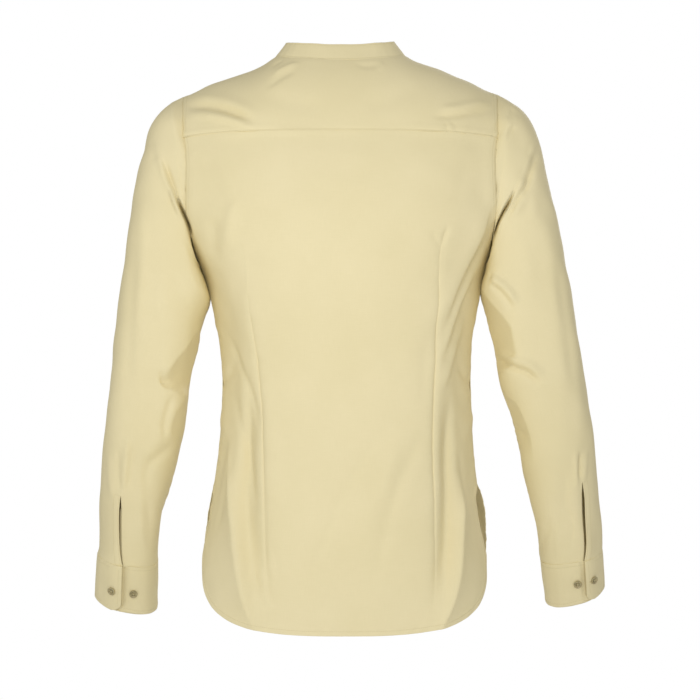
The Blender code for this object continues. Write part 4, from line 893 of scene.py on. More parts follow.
def makeYoke():
    # lines from the neck seam out to the armholes and the back seam, on the shoulders' surface
    look = yokeSettings
    over = np.linspace(-neck["seamShare"], 1, look["overArm"])
    lowest = yokeSeam["drop"] + yokeSeam["dip"]
    seamAngle = float(armholeAngle(np.array(lowest), "back"))
    backAngles = np.linspace(seamAngle, -seamAngle, look["acrossBack"])[1:-1]
    backX = bodyPoint(backAngles, np.full_like(backAngles, yokeSeam["drop"]))[:, 0]
    outerX = np.concatenate([armholeX(1, over), backX, armholeX(-1, over[::-1])])
    outerShare = np.concatenate([over, np.ones_like(backX), over[::-1]])
    turn = neckSeamAngle()
    innerX, innerShare = neckLine(np.linspace(turn, -turn, len(outerX)))
    t = (crowdedSteps(look["run"], look["spacing"], True, True) / look["run"])[:, None]
    x = innerX * (1 - t) + outerX * t
    share = innerShare * (1 - t) + outerShare * t
    points = easedPoints(shoulderPoint(x, share))
    normals = gridNormals(points, np.array([0, 0, -0.3]))
    first, last = len(over) - 1, len(outerX) - len(over)
    away = {
        "neck": distanceTo(points, points[0]),
        "left": distanceTo(points, points[-1, : first + 1]),
        "right": distanceTo(points, points[-1, last:]),
        "seam": distanceTo(points, points[-1, first : last + 1]),
        "shoulders": np.minimum(distanceTo(points, points[:, 0]), distanceTo(points, points[:, -1])),
    }
    felled = np.minimum(away["left"], away["right"])
    relief = seamRelief("yokeArm", felled, points, 5)
    clear = 0.25 + 0.75 * smooth((np.abs(points[..., 0]) - 0.050) / 0.080)     # fainter towards the centre
    relief += clear * seamRelief("yoke", away["seam"], points, 6)
    relief += seamRelief("shoulder", away["shoulders"], points, 7)
    folds = shoulderRelief(points, x, share, away["neck"])
    relief += folds * smooth(0.25 + away["seam"] / 0.010) * smooth(0.2 + felled / 0.010)
    points = points + normals * relief[..., None]
    normals = gridNormals(points, np.array([0, 0, -0.3]))
    piece = clothPiece("yoke cloth", [points], look["thickness"], "yoke")

    cloth, middle = (points, normals, look["thickness"]), len(outerX) // 2
    rows = [seamRow(cloth, away["seam"], seams["yoke"]["rows"][0], 0, np.s_[:, first + 2 : last - 1])]
    for side, part in (("left", np.s_[:, :first]), ("right", np.s_[:, last + 1 :])):
        rows += [seamRow(cloth, away[side], place, 0, part) for place in felledRows]
    for part in (np.s_[3:-3, :middle], np.s_[3:-3, middle:]):
        rows.append(seamRow(cloth, away["shoulders"], seams["shoulder"]["rows"][0], 1, part))
    return piece, threadPiece("yoke stitching", rows)


yoke, yokeStitching = makeYoke()
print("yoke made")


def frontGrid(across):
    # (turn from the centre front, drop): columns stand upright beside the centre edge and spread out to
    # the side edge; rows run from the chest line down to the hem
    split, upright = frontSettings["split"], frontSettings["upright"]
    edge, cornerDrop = panelRows("front", chestDrop)
    share = (edge - chestDrop) / (cornerDrop - chestDrop)
    place = across[None, :]
    x = -frontOverlap + (upright + frontOverlap) * place / split
    drop = edge + 0 * place
    for _ in range(4):
        half = sizeAt(bodySizes, "halfWidth", drop)
        inner = np.sign(x) * np.clip(np.abs(x) / half, 0, 1) ** (1 / bodySquareness)
        turnSplit = np.arcsin((upright / sizeAt(bodySizes, "halfWidth", edge)) ** (1 / bodySquareness))
        outer = turnSplit + (edgeAngle(edge, "front") - turnSplit) * (place - split) / (1 - split)
        turn = np.where(place < split, np.arcsin(np.clip(inner, -1, 1)), outer)
        hem = hemDrop(turn[-1], "front")[None, :]
        drop = edge + (hem - cornerDrop) * share**2
    return turn, drop, np.minimum(x, upright)[0]


def makeFront(side):
    # a lower grid on the body's section and an upper one on the shoulder, which meet along the chest line
    look = frontSettings
    name = "left" if side > 0 else "right"
    band = np.array([0, 0.4, 1.1, 2.2, 3.6, 4.4, 5.0, 5.6, 6.6, 8.6, 11.2, 13.8, 16.0, 18.2, 20.8, 23.4,
                     25.4, 26.4, 27.0, 27.6, 28.8, 30.4, 31.4, 32.2, 33.2, 35.2, 38.0, 41.5]) / 1000
    across = band / (look["upright"] + frontOverlap) * look["split"]
    rest = crowdedSteps(look["run"], look["spacing"], False, True) / look["run"]
    across = np.concatenate([across, look["split"] + (1 - look["split"]) * rest])
    turn, drop, upright = frontGrid(across)
    lower = bodyPoint(side * (math.pi - turn), drop)
    over = np.linspace(-1, -neck["seamShare"], 28)
    columns = len(across)
    outerX = np.concatenate([lower[0, :, 0], armholeX(side, over)[1:]])
    outerShare = np.concatenate([-np.ones(columns), over[1:]])
    # round the neck: straight above the band, then evenly to the shoulder seam
    inBand = across <= look["split"] * 1.0001
    bandTurn = math.pi - np.arcsin(upright[inBand] / neck["halfWidth"])
    restTurn = np.linspace(bandTurn[-1], neckSeamAngle(), len(outerX) - len(bandTurn) + 1)[1:]
    neckX, neckShare = neckLine(np.concatenate([bandTurn, restTurn]))
    t = (crowdedSteps(look["rise"], look["spacing"], True, True) / look["rise"])[:, None]
    x = side * neckX * (1 - t) + outerX * t
    share = neckShare * (1 - t) + outerShare * t
    upper, lower = easedPoints(shoulderPoint(x, share)), easedPoints(lower)

    grids = {"lower": lower, "upper": upper}
    bandStitches = 0.005, look["placketWidth"] - 0.005
    centreEdge = np.concatenate([upper[:, 0], lower[1:, 0]])
    neckEdge, shoulderSeam = upper[0], upper[:, -1]
    slit = int(np.searchsorted(drop[:, -1], sideSeam["slit"]))
    sideEdge = np.concatenate([upper[-1, columns - 1 :][::-1], lower[1 : slit + 1, -1]])
    hemLine = np.concatenate([lower[slit:, -1], lower[-1][::-1]])
    away, points, normals = {}, {}, {}
    for part, grid in grids.items():
        normal = gridNormals(grid, np.array([0, 0.05, -0.3]) if part == "upper" else grid * (0, 0, 1))
        away[part] = {
            "centre": distanceTo(grid, centreEdge),
            "neck": distanceTo(grid, neckEdge),
            "shoulder": distanceTo(grid, shoulderSeam),
            "side": distanceTo(grid, sideEdge),
            "hem": distanceTo(grid, hemLine),
        }
        near = away[part]
        relief = seamRelief("armhole", near["side"], grid, 8)
        relief += seamRelief("hem", near["hem"], grid, 9)
        relief += 0.00025 * (1 - smooth(near["shoulder"] / 0.0008))
        if side > 0:
            bandRelief = 0.00045 * (1 - smooth((near["centre"] - look["placketWidth"]) / 0.0008))
            for place in bandStitches:
                bandRelief -= 0.00022 * np.exp(-(((near["centre"] - place) / 0.0008) ** 2))
            relief += bandRelief
        depth = chestDrop if part == "upper" else drop
        fromCentre = side * (grid[..., 0] - sizeAt(bodySizes, "centre", depth))
        if side < 0:
            relief -= underlapDepth * smooth((look["tuck"][0] - fromCentre) / look["tuck"][1])
        else:
            # the band lies flat, a little loose between its buttons
            gap = softWaves(grid[..., 2], 0 * grid[..., 2], 17, 0.085, 0.0006, 5)
            relief += gap * smooth((0.020 - near["centre"]) / 0.02)
        if part == "upper":
            folds = shoulderRelief(grid, x, share, near["neck"])
        else:
            folds = bodyRelief(grid, normal, side * (math.pi - turn), drop, frontFolds)
            relief += look["flare"][name] * slitBulge(drop) * smooth((across - 0.55) / 0.4)
        held = smooth((near["centre"] - 0.012) / 0.03) * smooth(0.2 + near["side"] / 0.012)
        relief += folds * held * smooth(0.3 + near["shoulder"] / 0.01)
        points[part] = grid + normal * relief[..., None]
    # both parts meet along the chest line half way between them
    meeting = (points["upper"][-1, :columns] + points["lower"][0]) / 2
    fade = np.exp(-np.abs(lower[:, :, 2] - lower[:1, :, 2]) / 0.006)[..., None]
    points["lower"] += (meeting - points["lower"][0]) * fade
    fade = np.exp(-np.linalg.norm(upper[:, :columns] - upper[-1:, :columns], axis=-1) / 0.006)[..., None]
    points["upper"][:, :columns] += (meeting - points["upper"][-1, :columns]) * fade
    for part in points:
        inside = np.array([0, 0.05, -0.3]) if part == "upper" else points[part] * (0, 0, 1)
        normals[part] = gridNormals(points[part], inside)
    both = [points["upper"], points["lower"]]
    piece = clothPiece(f"{name} front cloth", both, look["thickness"], f"{name}_front")

    cloths = {part: (points[part], normals[part], look["thickness"]) for part in points}
    low, hemRow, hemEnds = away["lower"], seams["hem"]["rows"][0], points["lower"][-1]
    half, arm, band = np.s_[:, columns // 2 :], np.s_[:, columns - 1 :], np.s_[:, :30]
    inside = (low["centre"][-1] > 0.001) & (np.linalg.norm(hemEnds - hemEnds[-1:], axis=-1) > 0.02)
    rows = [
        seamRow(cloths["lower"], low["hem"], hemRow, 0, keep=inside),
        seamRow(cloths["lower"], low["hem"], hemRow, 1, half, tailEdge(drop[:, -1])),
        seamRow(cloths["lower"], low["side"], felledRows[0], 1, half, np.s_[:slit]),
    ]
    top, under = cloths["upper"], away["upper"]["side"]
    rows += [seamRow(top, under, place, 0, arm, np.s_[1:]) for place in felledRows]
    for place in bandStitches if side > 0 else ():
        rows += [seamRow(cloths[part], away[part]["centre"], place, 1, band) for part in cloths]
    return piece, threadPiece(f"{name} front stitching", rows)


leftFront, leftFrontStitching = makeFront(1)
rightFront, rightFrontStitching = makeFront(-1)
print("fronts made")


collarSettings = {
    "thickness": 0.0016, "height": 0.0225, "seat": -0.0012, "corner": 0.010, "topstitch": 0.0022,
    "lean": {"back": 28.0, "side": 37.0, "front": 20.0},
    "spacing": 0.0028,
}


def collarPoint(turn, height):
    # rises from the neck seam and leans in by an angle that changes round the neck with the square of
    # the cosine
    x, share = neckLine(turn)
    cosine, lean = np.cos(turn), collarSettings["lean"]
    end = np.where(cosine >= 0, lean["back"], lean["front"])
    tilt = np.radians(lean["side"] + (end - lean["side"]) * cosine**2)
    inward = np.stack([-np.sin(turn), -cosine, 0 * turn], axis=-1)
    rise = inward * np.sin(tilt)[..., None] + np.array([0.0, 0.0, 1.0]) * np.cos(tilt)[..., None]
    return shoulderPoint(x, share) + height[..., None] * rise


def cornerCut(fromEnd, radius):
    # what a rounded corner takes off the edge, this far from the piece's end
    inside = np.clip(radius - fromEnd, 0, radius)
    return radius - np.sqrt(np.clip(radius**2 - inside**2, 0, None))


def makeCollar():
    # the stand round the neck from the underlap to the lap, its free corners cut round
    look = collarSettings
    end = math.pi + math.asin(frontOverlap / neck["halfWidth"])
    close = np.array([0, 0.0001, 0.0004, 0.0009, 0.0016, 0.0025, 0.0036, 0.0049, 0.0064, 0.0082, 0.0100])
    close = close / neck["halfWidth"]
    turn = np.concatenate([-end + close, np.linspace(-end + 0.15, end - 0.15, 200), end - close[::-1]])
    top = look["height"] - cornerCut((end - np.abs(turn)) * neck["halfWidth"], look["corner"])
    rows = crowdedSteps(look["height"], look["spacing"], True, True) / look["height"]
    height = look["seat"] + (top[None, :] - look["seat"]) * rows[:, None]
    wide = np.repeat(turn[None, :], len(rows), axis=0)
    points = collarPoint(wide, height)
    normals = gridNormals(points, points * (0, 0, 1) + (0, -0.01, 0))
    edge = np.concatenate([points[:, 0][::-1], points[-1], points[:, -1][::-1]])
    away = {"free": distanceTo(points, edge), "seam": distanceTo(points, points[0])}
    # the right end lies under the left one
    relief = -underlapDepth * smooth((-wide - (math.pi - 0.55)) / 0.4)
    for field in away.values():
        relief -= 0.00025 * np.exp(-(((field - look["topstitch"]) / 0.0008) ** 2))
    relief += softWaves(wide * neck["halfWidth"], height, 31, 0.035, 0.00030)
    relief += 0.00012 * softWaves(wide * neck["halfWidth"], 0 * height, 32, 0.011, 1.0, 5)
    points = points + normals * relief[..., None]
    normals = gridNormals(points, points * (0, 0, 1) + (0, -0.01, 0))
    piece = clothPiece("collar cloth", [points], look["thickness"], "collar")

    cloth, ends = (points, normals, look["thickness"]), (slice(0, 40), slice(-40, None))
    rows = bandRows(cloth, away, look["topstitch"], slice(8, -8), slice(3, -9), ends)
    return piece, threadPiece("collar stitching", rows)


collar, collarStitching = makeCollar()
print("collar made")


# Sections of each sleeve and cuff: outer and inner edge as seen from behind, half depth, centre forward.
# A row of tuck has a station, the share of the half width where the elbow's facet begins, and its amount.
stations = {
    "station": tuple(float(n) for n in range(1, 20)),
    "halfDepth": (0.0590, 0.0605, 0.0618, 0.0628, 0.0635, 0.0640, 0.0640, 0.0635, 0.0622, 0.0605, 0.0580,
                  0.0560, 0.0535, 0.0510, 0.0480, 0.0455, 0.0430, 0.0415, 0.0405),
}
sleeves = {
    "left": {
        **stations,
        "outerX": (0.2185, 0.2300, 0.2395, 0.2480, 0.2552, 0.2632, 0.2700, 0.2755, 0.2812, 0.2870, 0.2925,
                   0.2980, 0.3045, 0.3092, 0.3132, 0.3158, 0.3190, 0.3222, 0.3262),
        "outerDrop": (0.0560, 0.0650, 0.0770, 0.0935, 0.1180, 0.1480, 0.1830, 0.2200, 0.2650, 0.3120, 0.3560,
                      0.4010, 0.4460, 0.4910, 0.5360, 0.5810, 0.6260, 0.6590, 0.7030),
        "innerX": (0.1890, 0.1868, 0.1843, 0.1824, 0.1815, 0.1789, 0.1757, 0.1724, 0.1712, 0.1795, 0.1862,
                   0.1948, 0.2022, 0.2110, 0.2212, 0.2335, 0.2410, 0.2425, 0.2440),
        "innerDrop": (0.2575, 0.2600, 0.2630, 0.2668, 0.2715, 0.2775, 0.2855, 0.2965, 0.3130, 0.3400, 0.3760,
                      0.4170, 0.4600, 0.5040, 0.5480, 0.5920, 0.6360, 0.6700, 0.7180),
        "forward": (0.003, 0.003, 0.003, 0.003, 0.003, 0.003, 0.003, 0.003, 0.004, 0.006, 0.010, 0.016,
                    0.024, 0.034, 0.046, 0.059, 0.073, 0.083, 0.103),
        "slit": {"top": 15.36, "atTop": 0.203, "atCuff": 0.241},
        "tuck": ((9.8, 1.00, 0.0), (10.2, 0.98, 0.8), (11.2, 0.60, 0.95), (12.0, 0.28, 0.8),
                 (12.35, 0.90, 0.7),
                 (12.8, 0.70, 0.7), (13.2, 0.66, 0.5), (13.7, 0.70, 0.0)),
    },
    "right": {
        **stations,
        "outerX": (0.2195, 0.2325, 0.2430, 0.2525, 0.2610, 0.2690, 0.2772, 0.2848, 0.2935, 0.3030, 0.3095,
                   0.3165, 0.3240, 0.3309, 0.3360, 0.3400, 0.3450, 0.3478, 0.3515),
        "outerDrop": (0.0535, 0.0620, 0.0745, 0.0920, 0.1180, 0.1480, 0.1830, 0.2200, 0.2650, 0.3120, 0.3560,
                      0.4010, 0.4460, 0.4910, 0.5350, 0.5790, 0.6230, 0.6530, 0.6900),
        "innerX": (0.1945, 0.1928, 0.1908, 0.1896, 0.1889, 0.1876, 0.1852, 0.1834, 0.1855, 0.1930, 0.2010,
                   0.2095, 0.2235, 0.2335, 0.2440, 0.2550, 0.2630, 0.2672, 0.2735),
        "innerDrop": (0.2575, 0.2600, 0.2630, 0.2668, 0.2715, 0.2775, 0.2855, 0.2965, 0.3130, 0.3400, 0.3760,
                      0.4170, 0.4600, 0.5040, 0.5480, 0.5920, 0.6360, 0.6650, 0.7085),
        "forward": (0.003, 0.003, 0.003, 0.003, 0.003, 0.003, 0.003, 0.003, 0.004, 0.006, 0.010, 0.016,
                    0.024, 0.034, 0.046, 0.059, 0.073, 0.082, 0.101),
        "slit": {"top": 15.05, "atTop": 0.159, "atCuff": 0.202},
        "tuck": ((7.9, 1.00, 0.0), (8.4, 0.96, 0.8), (9.5, 0.70, 1.0), (10.3, 0.52, 1.0), (11.2, 0.50, 0.9),
                 (11.7, 0.85, 0.6), (12.3, 0.97, 0.6), (12.6, 0.72, 0.8), (13.0, 0.66, 0.8),
                 (13.6, 0.60, 0.6), (14.3, 0.62, 0.0)),
    },
}
sleeveSettings = {
    "thickness": 0.0007, "cuffSeam": 17.6, "cuffEnd": 19.0, "wristGirth": 0.260, "slitOpening": 0.0025,
    "columns": 168, "spacing": 0.0031, "squareness": 0.78, "placketWidth": 0.0165, "placketDepth": 0.0058,
    "slitStitches": (0.0018, 0.0085), "slitLength": 0.13,
    "crowd": {"at": 0.24, "reach": 0.07, "extra": 1.3},     # where round the sleeve its columns lie closer
}
# Folds of the back of each sleeve as seen from behind: x and drop, half widths and height.
sleeveFolds = {
    "left": (
        (((0.2347, 0.1215), (0.2244, 0.1525), (0.2102, 0.1860), (0.1986, 0.2067)), 0.0050, 0.0030, 0.0024),
        (((0.2270, 0.1319), (0.2167, 0.1602), (0.2051, 0.1873)), 0.0030, 0.0040, -0.0022),
        (((0.2218, 0.1731), (0.2154, 0.1886), (0.2076, 0.2041)), 0.0030, 0.0030, -0.0016),
        (((0.2451, 0.1060), (0.2425, 0.1215), (0.2347, 0.1344)), 0.0060, 0.0060, -0.0014),
        (((0.2280, 0.4020), (0.2300, 0.4140), (0.2230, 0.4240), (0.2140, 0.4290)), 0.0035, 0.0045, -0.0030),
        (((0.2150, 0.4330), (0.2250, 0.4640), (0.2290, 0.4960)), 0.0050, 0.0040, -0.0022),
        (((0.2115, 0.4931), (0.2321, 0.5138), (0.2502, 0.5267), (0.2541, 0.5576)), 0.0060, 0.0060, -0.0020),
        (((0.2218, 0.4776), (0.2425, 0.5009), (0.2580, 0.5215)), 0.0080, 0.0080, 0.0016),
        (((0.2554, 0.1783), (0.2515, 0.2351), (0.2528, 0.2867), (0.2605, 0.3512)), 0.0090, 0.0070, 0.0014),
        (((0.2657, 0.2351), (0.2657, 0.2996), (0.2709, 0.3770), (0.2760, 0.4415)), 0.0080, 0.0080, -0.0014),
        (((0.2321, 0.2635), (0.2283, 0.2996), (0.2321, 0.3512)), 0.0110, 0.0110, 0.0012),
        (((0.2734, 0.4880), (0.2786, 0.5215), (0.2812, 0.5602)), 0.0035, 0.0035, 0.0016),
        (((0.2657, 0.4983), (0.2709, 0.5318), (0.2760, 0.5628)), 0.0035, 0.0035, -0.0015),
        (((0.2863, 0.5009), (0.2889, 0.5318), (0.2863, 0.5628)), 0.0035, 0.0035, -0.0015),
        (((0.2992, 0.5086), (0.2992, 0.5447), (0.2941, 0.5783)), 0.0040, 0.0040, 0.0012),
        (((0.2502, 0.5705), (0.2489, 0.6092), (0.2502, 0.6428)), 0.0060, 0.0060, -0.0012),
        (((0.2580, 0.5318), (0.2605, 0.5834), (0.2605, 0.6376)), 0.0060, 0.0060, 0.0012),
    ),
    "right": (
        (((-0.2530, 0.1060), (-0.2427, 0.1344), (-0.2311, 0.1667), (-0.2194, 0.1886)),
         0.0035, 0.0050, 0.0026),
        (((-0.2594, 0.1189), (-0.2465, 0.1499), (-0.2349, 0.1783), (-0.2194, 0.2015)),
         0.0040, 0.0040, -0.0024),
        (((-0.2375, 0.1654), (-0.2246, 0.1886), (-0.2117, 0.2093)), 0.0030, 0.0030, -0.0020),
        (((-0.2117, 0.1048), (-0.2181, 0.0970), (-0.2259, 0.0893)), 0.0030, 0.0030, -0.0018),
        (((-0.2130, 0.0802), (-0.2181, 0.0712), (-0.2246, 0.0648)), 0.0040, 0.0040, -0.0015),
        (((-0.2143, 0.0931), (-0.2220, 0.0828), (-0.2298, 0.0751)), 0.0040, 0.0040, 0.0012),
        (((-0.2452, 0.1706), (-0.2491, 0.1912), (-0.2478, 0.2118)), 0.0070, 0.0070, 0.0010),
        (((-0.1880, 0.2800), (-0.2120, 0.2930), (-0.2290, 0.3200)), 0.0120, 0.0040, 0.0040),
        (((-0.1900, 0.2880), (-0.2110, 0.3040), (-0.2230, 0.3260)), 0.0040, 0.0040, -0.0030),
        (((-0.2014, 0.3757), (-0.2246, 0.3886), (-0.2465, 0.3951), (-0.2633, 0.4131)),
         0.0050, 0.0036, 0.0032),
        (((-0.2014, 0.3860), (-0.2220, 0.3989), (-0.2440, 0.4054), (-0.2594, 0.4234)),
         0.0040, 0.0030, -0.0044),
        (((-0.2272, 0.4738), (-0.2349, 0.4841), (-0.2414, 0.4918)), 0.0030, 0.0030, -0.0014),
        (((-0.2646, 0.1783), (-0.2685, 0.2351), (-0.2762, 0.2996), (-0.2840, 0.3641)),
         0.0090, 0.0090, 0.0012),
        (((-0.2788, 0.2480), (-0.2865, 0.3125), (-0.2943, 0.3641), (-0.3046, 0.4415)),
         0.0080, 0.0070, -0.0016),
        (((-0.2375, 0.2351), (-0.2401, 0.2738), (-0.2478, 0.3254)), 0.0110, 0.0110, 0.0010),
        (((-0.3136, 0.5086), (-0.3123, 0.5292), (-0.3123, 0.5473)), 0.0028, 0.0028, -0.0022),
        (((-0.3059, 0.5060), (-0.3072, 0.5318), (-0.3085, 0.5602)), 0.0035, 0.0035, 0.0014),
        (((-0.3214, 0.5034), (-0.3201, 0.5292), (-0.3175, 0.5525)), 0.0030, 0.0030, 0.0012),
        (((-0.2994, 0.5834), (-0.3046, 0.6092), (-0.3020, 0.6428)), 0.0050, 0.0040, -0.0012),
        (((-0.2917, 0.5318), (-0.2943, 0.5705), (-0.2994, 0.6092)), 0.0060, 0.0060, -0.0009),
        (((-0.2633, 0.6480), (-0.2685, 0.6221), (-0.2736, 0.5963)), 0.0050, 0.0050, -0.0012),
        (((-0.2865, 0.6505), (-0.2840, 0.6286), (-0.2840, 0.6028)), 0.0040, 0.0040, 0.0009),
    ),
}
# Soft folds that lead into the deep crease over each armhole.
armCreases = {
    "left": (
        (((0.2240, 0.1450), (0.2180, 0.1620), (0.2110, 0.1780)), 0.0040, 0.0045, -0.0030),
        (((0.2160, 0.1760), (0.2110, 0.1900), (0.2040, 0.2060)), 0.0040, 0.0030, 0.0030),
    ),
    "right": (
        (((-0.2500, 0.1180), (-0.2420, 0.1420), (-0.2320, 0.1640)), 0.0050, 0.0100, -0.0044),
        (((-0.2370, 0.1700), (-0.2290, 0.1880), (-0.2190, 0.2060)), 0.0030, 0.0070, 0.0036),
    ),
}
# Folds of the hidden front of each sleeve, with the same sizes and unevenness.
sleeveFrontFolds = {
    "left": (
        (((0.178, 0.336), (0.200, 0.352), (0.224, 0.380), (0.240, 0.404)), 0.006, 0.005, 0.0034),
        (((0.180, 0.352), (0.204, 0.372), (0.226, 0.402)), 0.004, 0.004, -0.0036),
        (((0.190, 0.392), (0.212, 0.420), (0.230, 0.462)), 0.005, 0.005, -0.0024),
        (((0.240, 0.120), (0.224, 0.160), (0.204, 0.210)), 0.006, 0.005, 0.0024),
        (((0.232, 0.150), (0.216, 0.180), (0.200, 0.214)), 0.004, 0.005, -0.0020),
        (((0.262, 0.230), (0.262, 0.300), (0.270, 0.370)), 0.009, 0.008, 0.0013),
        (((0.236, 0.480), (0.256, 0.520), (0.270, 0.560)), 0.008, 0.008, -0.0018),
        (((0.260, 0.560), (0.272, 0.600), (0.280, 0.650)), 0.007, 0.006, 0.0014),
        (((0.296, 0.500), (0.300, 0.560), (0.302, 0.620)), 0.006, 0.006, -0.0013),
    ),
    "right": (
        (((-0.192, 0.290), (-0.214, 0.304), (-0.232, 0.334)), 0.005, 0.005, 0.0026),
        (((-0.196, 0.304), (-0.216, 0.326), (-0.230, 0.356)), 0.004, 0.005, -0.0034),
        (((-0.204, 0.366), (-0.228, 0.382), (-0.252, 0.402)), 0.005, 0.006, 0.0028),
        (((-0.206, 0.384), (-0.230, 0.404), (-0.250, 0.434)), 0.004, 0.004, -0.0030),
        (((-0.252, 0.112), (-0.238, 0.154), (-0.220, 0.204)), 0.005, 0.006, 0.0024),
        (((-0.246, 0.140), (-0.232, 0.176), (-0.214, 0.212)), 0.004, 0.004, -0.0020),
        (((-0.272, 0.240), (-0.278, 0.310), (-0.288, 0.380)), 0.008, 0.009, 0.0012),
        (((-0.262, 0.486), (-0.284, 0.530), (-0.298, 0.572)), 0.008, 0.008, -0.0018),
        (((-0.282, 0.560), (-0.294, 0.604), (-0.300, 0.648)), 0.006, 0.007, 0.0013),
        (((-0.322, 0.500), (-0.326, 0.560), (-0.330, 0.616)), 0.006, 0.006, -0.0012),
    ),
}


def armholeLoop(side, share):
    # closed edge of an armhole by share of its length: 0 at the shoulder tip, a quarter behind, half
    # under the arm
    lowest = yokeSeam["drop"] + yokeSeam["dip"]
    share = np.mod(share, 1.0)
    halves = {}
    for half, sign, endDrop in (("back", 1, lowest), ("front", -1, chestDrop)):
        over = sign * np.linspace(0, 1, 40)
        top = shoulderPoint(armholeX(side, over), over)
        drop = endDrop + (sideSeam["underarm"] - endDrop) * np.sin(np.linspace(0, math.pi / 2, 40))
        path = np.concatenate([top, bodyPoint(side * armholeAngle(drop, half), drop)[1:]])
        along = np.concatenate([[0], np.cumsum(np.linalg.norm(np.diff(path, axis=0), axis=1))])
        halves[half] = path, along / along[-1]
    axes = []
    for k in range(3):
        behind = np.interp(2 * share, halves["back"][1], halves["back"][0][:, k])
        before = np.interp(2 - 2 * share, halves["front"][1], halves["front"][0][:, k])
        axes.append(np.where(share <= 0.5, behind, before))
    return np.stack(axes, axis=-1)


def sleeveRing(sizes, share, station):
    # ellipse from the outer to the inner edge, leaning with the arm
    def at(name, step=0.0):
        return sizeAt(sizes, name, station + step, "station")

    outer = np.stack([at("outerX"), -at("outerDrop")], axis=-1)
    inner = np.stack([at("innerX"), -at("innerDrop")], axis=-1)
    rise = at("outerDrop", 0.25) - at("outerDrop", -0.25)
    advance = at("forward", 0.25) - at("forward", -0.25)
    lean = np.arctan2(advance, rise + 0.004)
    middle, half = (outer + inner) / 2, (outer - inner) / 2
    sine, cosine = np.sin(2 * math.pi * share), np.cos(2 * math.pi * share)
    # squarer where the sleeve lies flat beside the body, down to the elbow
    beside = smooth((station - 1.6) / 1.2) * smooth((9.6 - station) / 1.6) * np.clip(-cosine, 0, 1)
    # and rounder towards the outer side of the forearm
    rounder = 0.34 * smooth((station - 12.5) / 3.5) * np.clip(cosine, 0, 1)
    power = sleeveSettings["squareness"] - 0.32 * beside + rounder
    sine, cosine = (np.sign(v) * np.abs(v) ** power for v in (sine, cosine))
    # at the elbow the inner side is tucked in: a facet from a share of the half width in to the inner edge
    tuck = np.array(sizes["tuck"])
    begins, amount = (np.interp(station, tuck[:, 0], tuck[:, n]) for n in (1, 2))
    facet = np.clip((1 - np.abs(cosine)) / (1.02 - begins), 0, 1) ** 0.9
    sine = sine + amount * smooth(-cosine / 0.1) * (sine > 0) * (np.minimum(sine, facet) - sine)
    depth = at("halfDepth") * sine
    # under the arm the sleeve meets the body's side a little forward of the middle and stands off behind
    near = smooth((station - 1.6) / 1.2) * smooth((8.8 - station) / 1.2) * np.clip(-cosine, 0, 1)
    part = near * np.where(sine > 0, 0.0006, -0.0018) * np.sqrt(np.abs(sine))
    x = middle[..., 0] + half[..., 0] * cosine + part
    y = -at("forward") + depth * np.cos(lean)
    z = middle[..., 1] + half[..., 1] * cosine - depth * np.sin(lean)
    return np.stack([x, y, z], axis=-1)


def sleevePoint(name, share, station):
    # the armhole's edge at station 0, eased by a cubic into the sections of the table at station 1
    side, sizes = (1 if name == "left" else -1), sleeves[name]
    loop = armholeLoop(side, share)
    under = np.sin(math.pi * np.mod(share, 1.0)) ** 2
    outward = side * loop[..., 0] + 0.0002 + 0.0018 * under**10
    loop = np.stack([outward, loop[..., 1], loop[..., 2] - 0.0004 * under], axis=-1)
    first, second = (sleeveRing(sizes, share, np.full(np.shape(share), n)) for n in (1.0, 2.0))
    t = np.clip(station, 0, 1)[..., None]
    out = (second - first) * 0.5 + (first - loop) * 0.5
    near = loop * (1 + 2 * t) * (1 - t) ** 2 + first * t * t * (3 - 2 * t)
    near += (first - loop) * t * (1 - t) ** 2 - out * t * t * (1 - t)
    ring = sleeveRing(sizes, share, np.maximum(station, 1.0))
    return np.where(station[..., None] < 1, near, ring) * (side, 1.0, 1.0)


def slitShare(name, station):
    # share of the way round at which the slit runs: it moves over by a power of the way down the slit
    slit = sleeves[name]["slit"]
    t = np.clip((station - slit["top"]) / (sleeveSettings["cuffSeam"] - slit["top"]), 0, 1)
    return slit["atTop"] + (slit["atCuff"] - slit["atTop"]) * t**1.5


def sleeveRelief(name, points, normals, station):
    # back folds where the cloth faces back, front folds where it faces forward, both in half at the edges
    x, drop = points[..., 0], -points[..., 2]
    back = smooth((normals[..., 1] + 0.25) / 0.5)
    relief = foldHeight(x, drop, sleeveFolds[name]) * back * 1.2
    relief += foldHeight(x, drop, sleeveFrontFolds[name]) * (1 - back)
    u, v = points[..., 0] + 0.6 * points[..., 1], points[..., 2] - 0.4 * points[..., 1]
    relief += softWaves(u, v, 41, 0.042, 0.00040) + softWaves(u, v, 43, 0.10, 0.0011)
    side = 1 if name == "left" else -1
    resting = smooth((-side * normals[..., 0] - 0.35) / 0.4) * smooth((9.5 - station) / 2.0)
    ends = smooth((sleeveSettings["cuffSeam"] - station) / 0.35 + 0.12)
    creases = foldHeight(x, drop, armCreases[name]) * back * smooth(station / 0.3)
    return relief * (1 - resting) * smooth(station / 1.6) * ends + creases


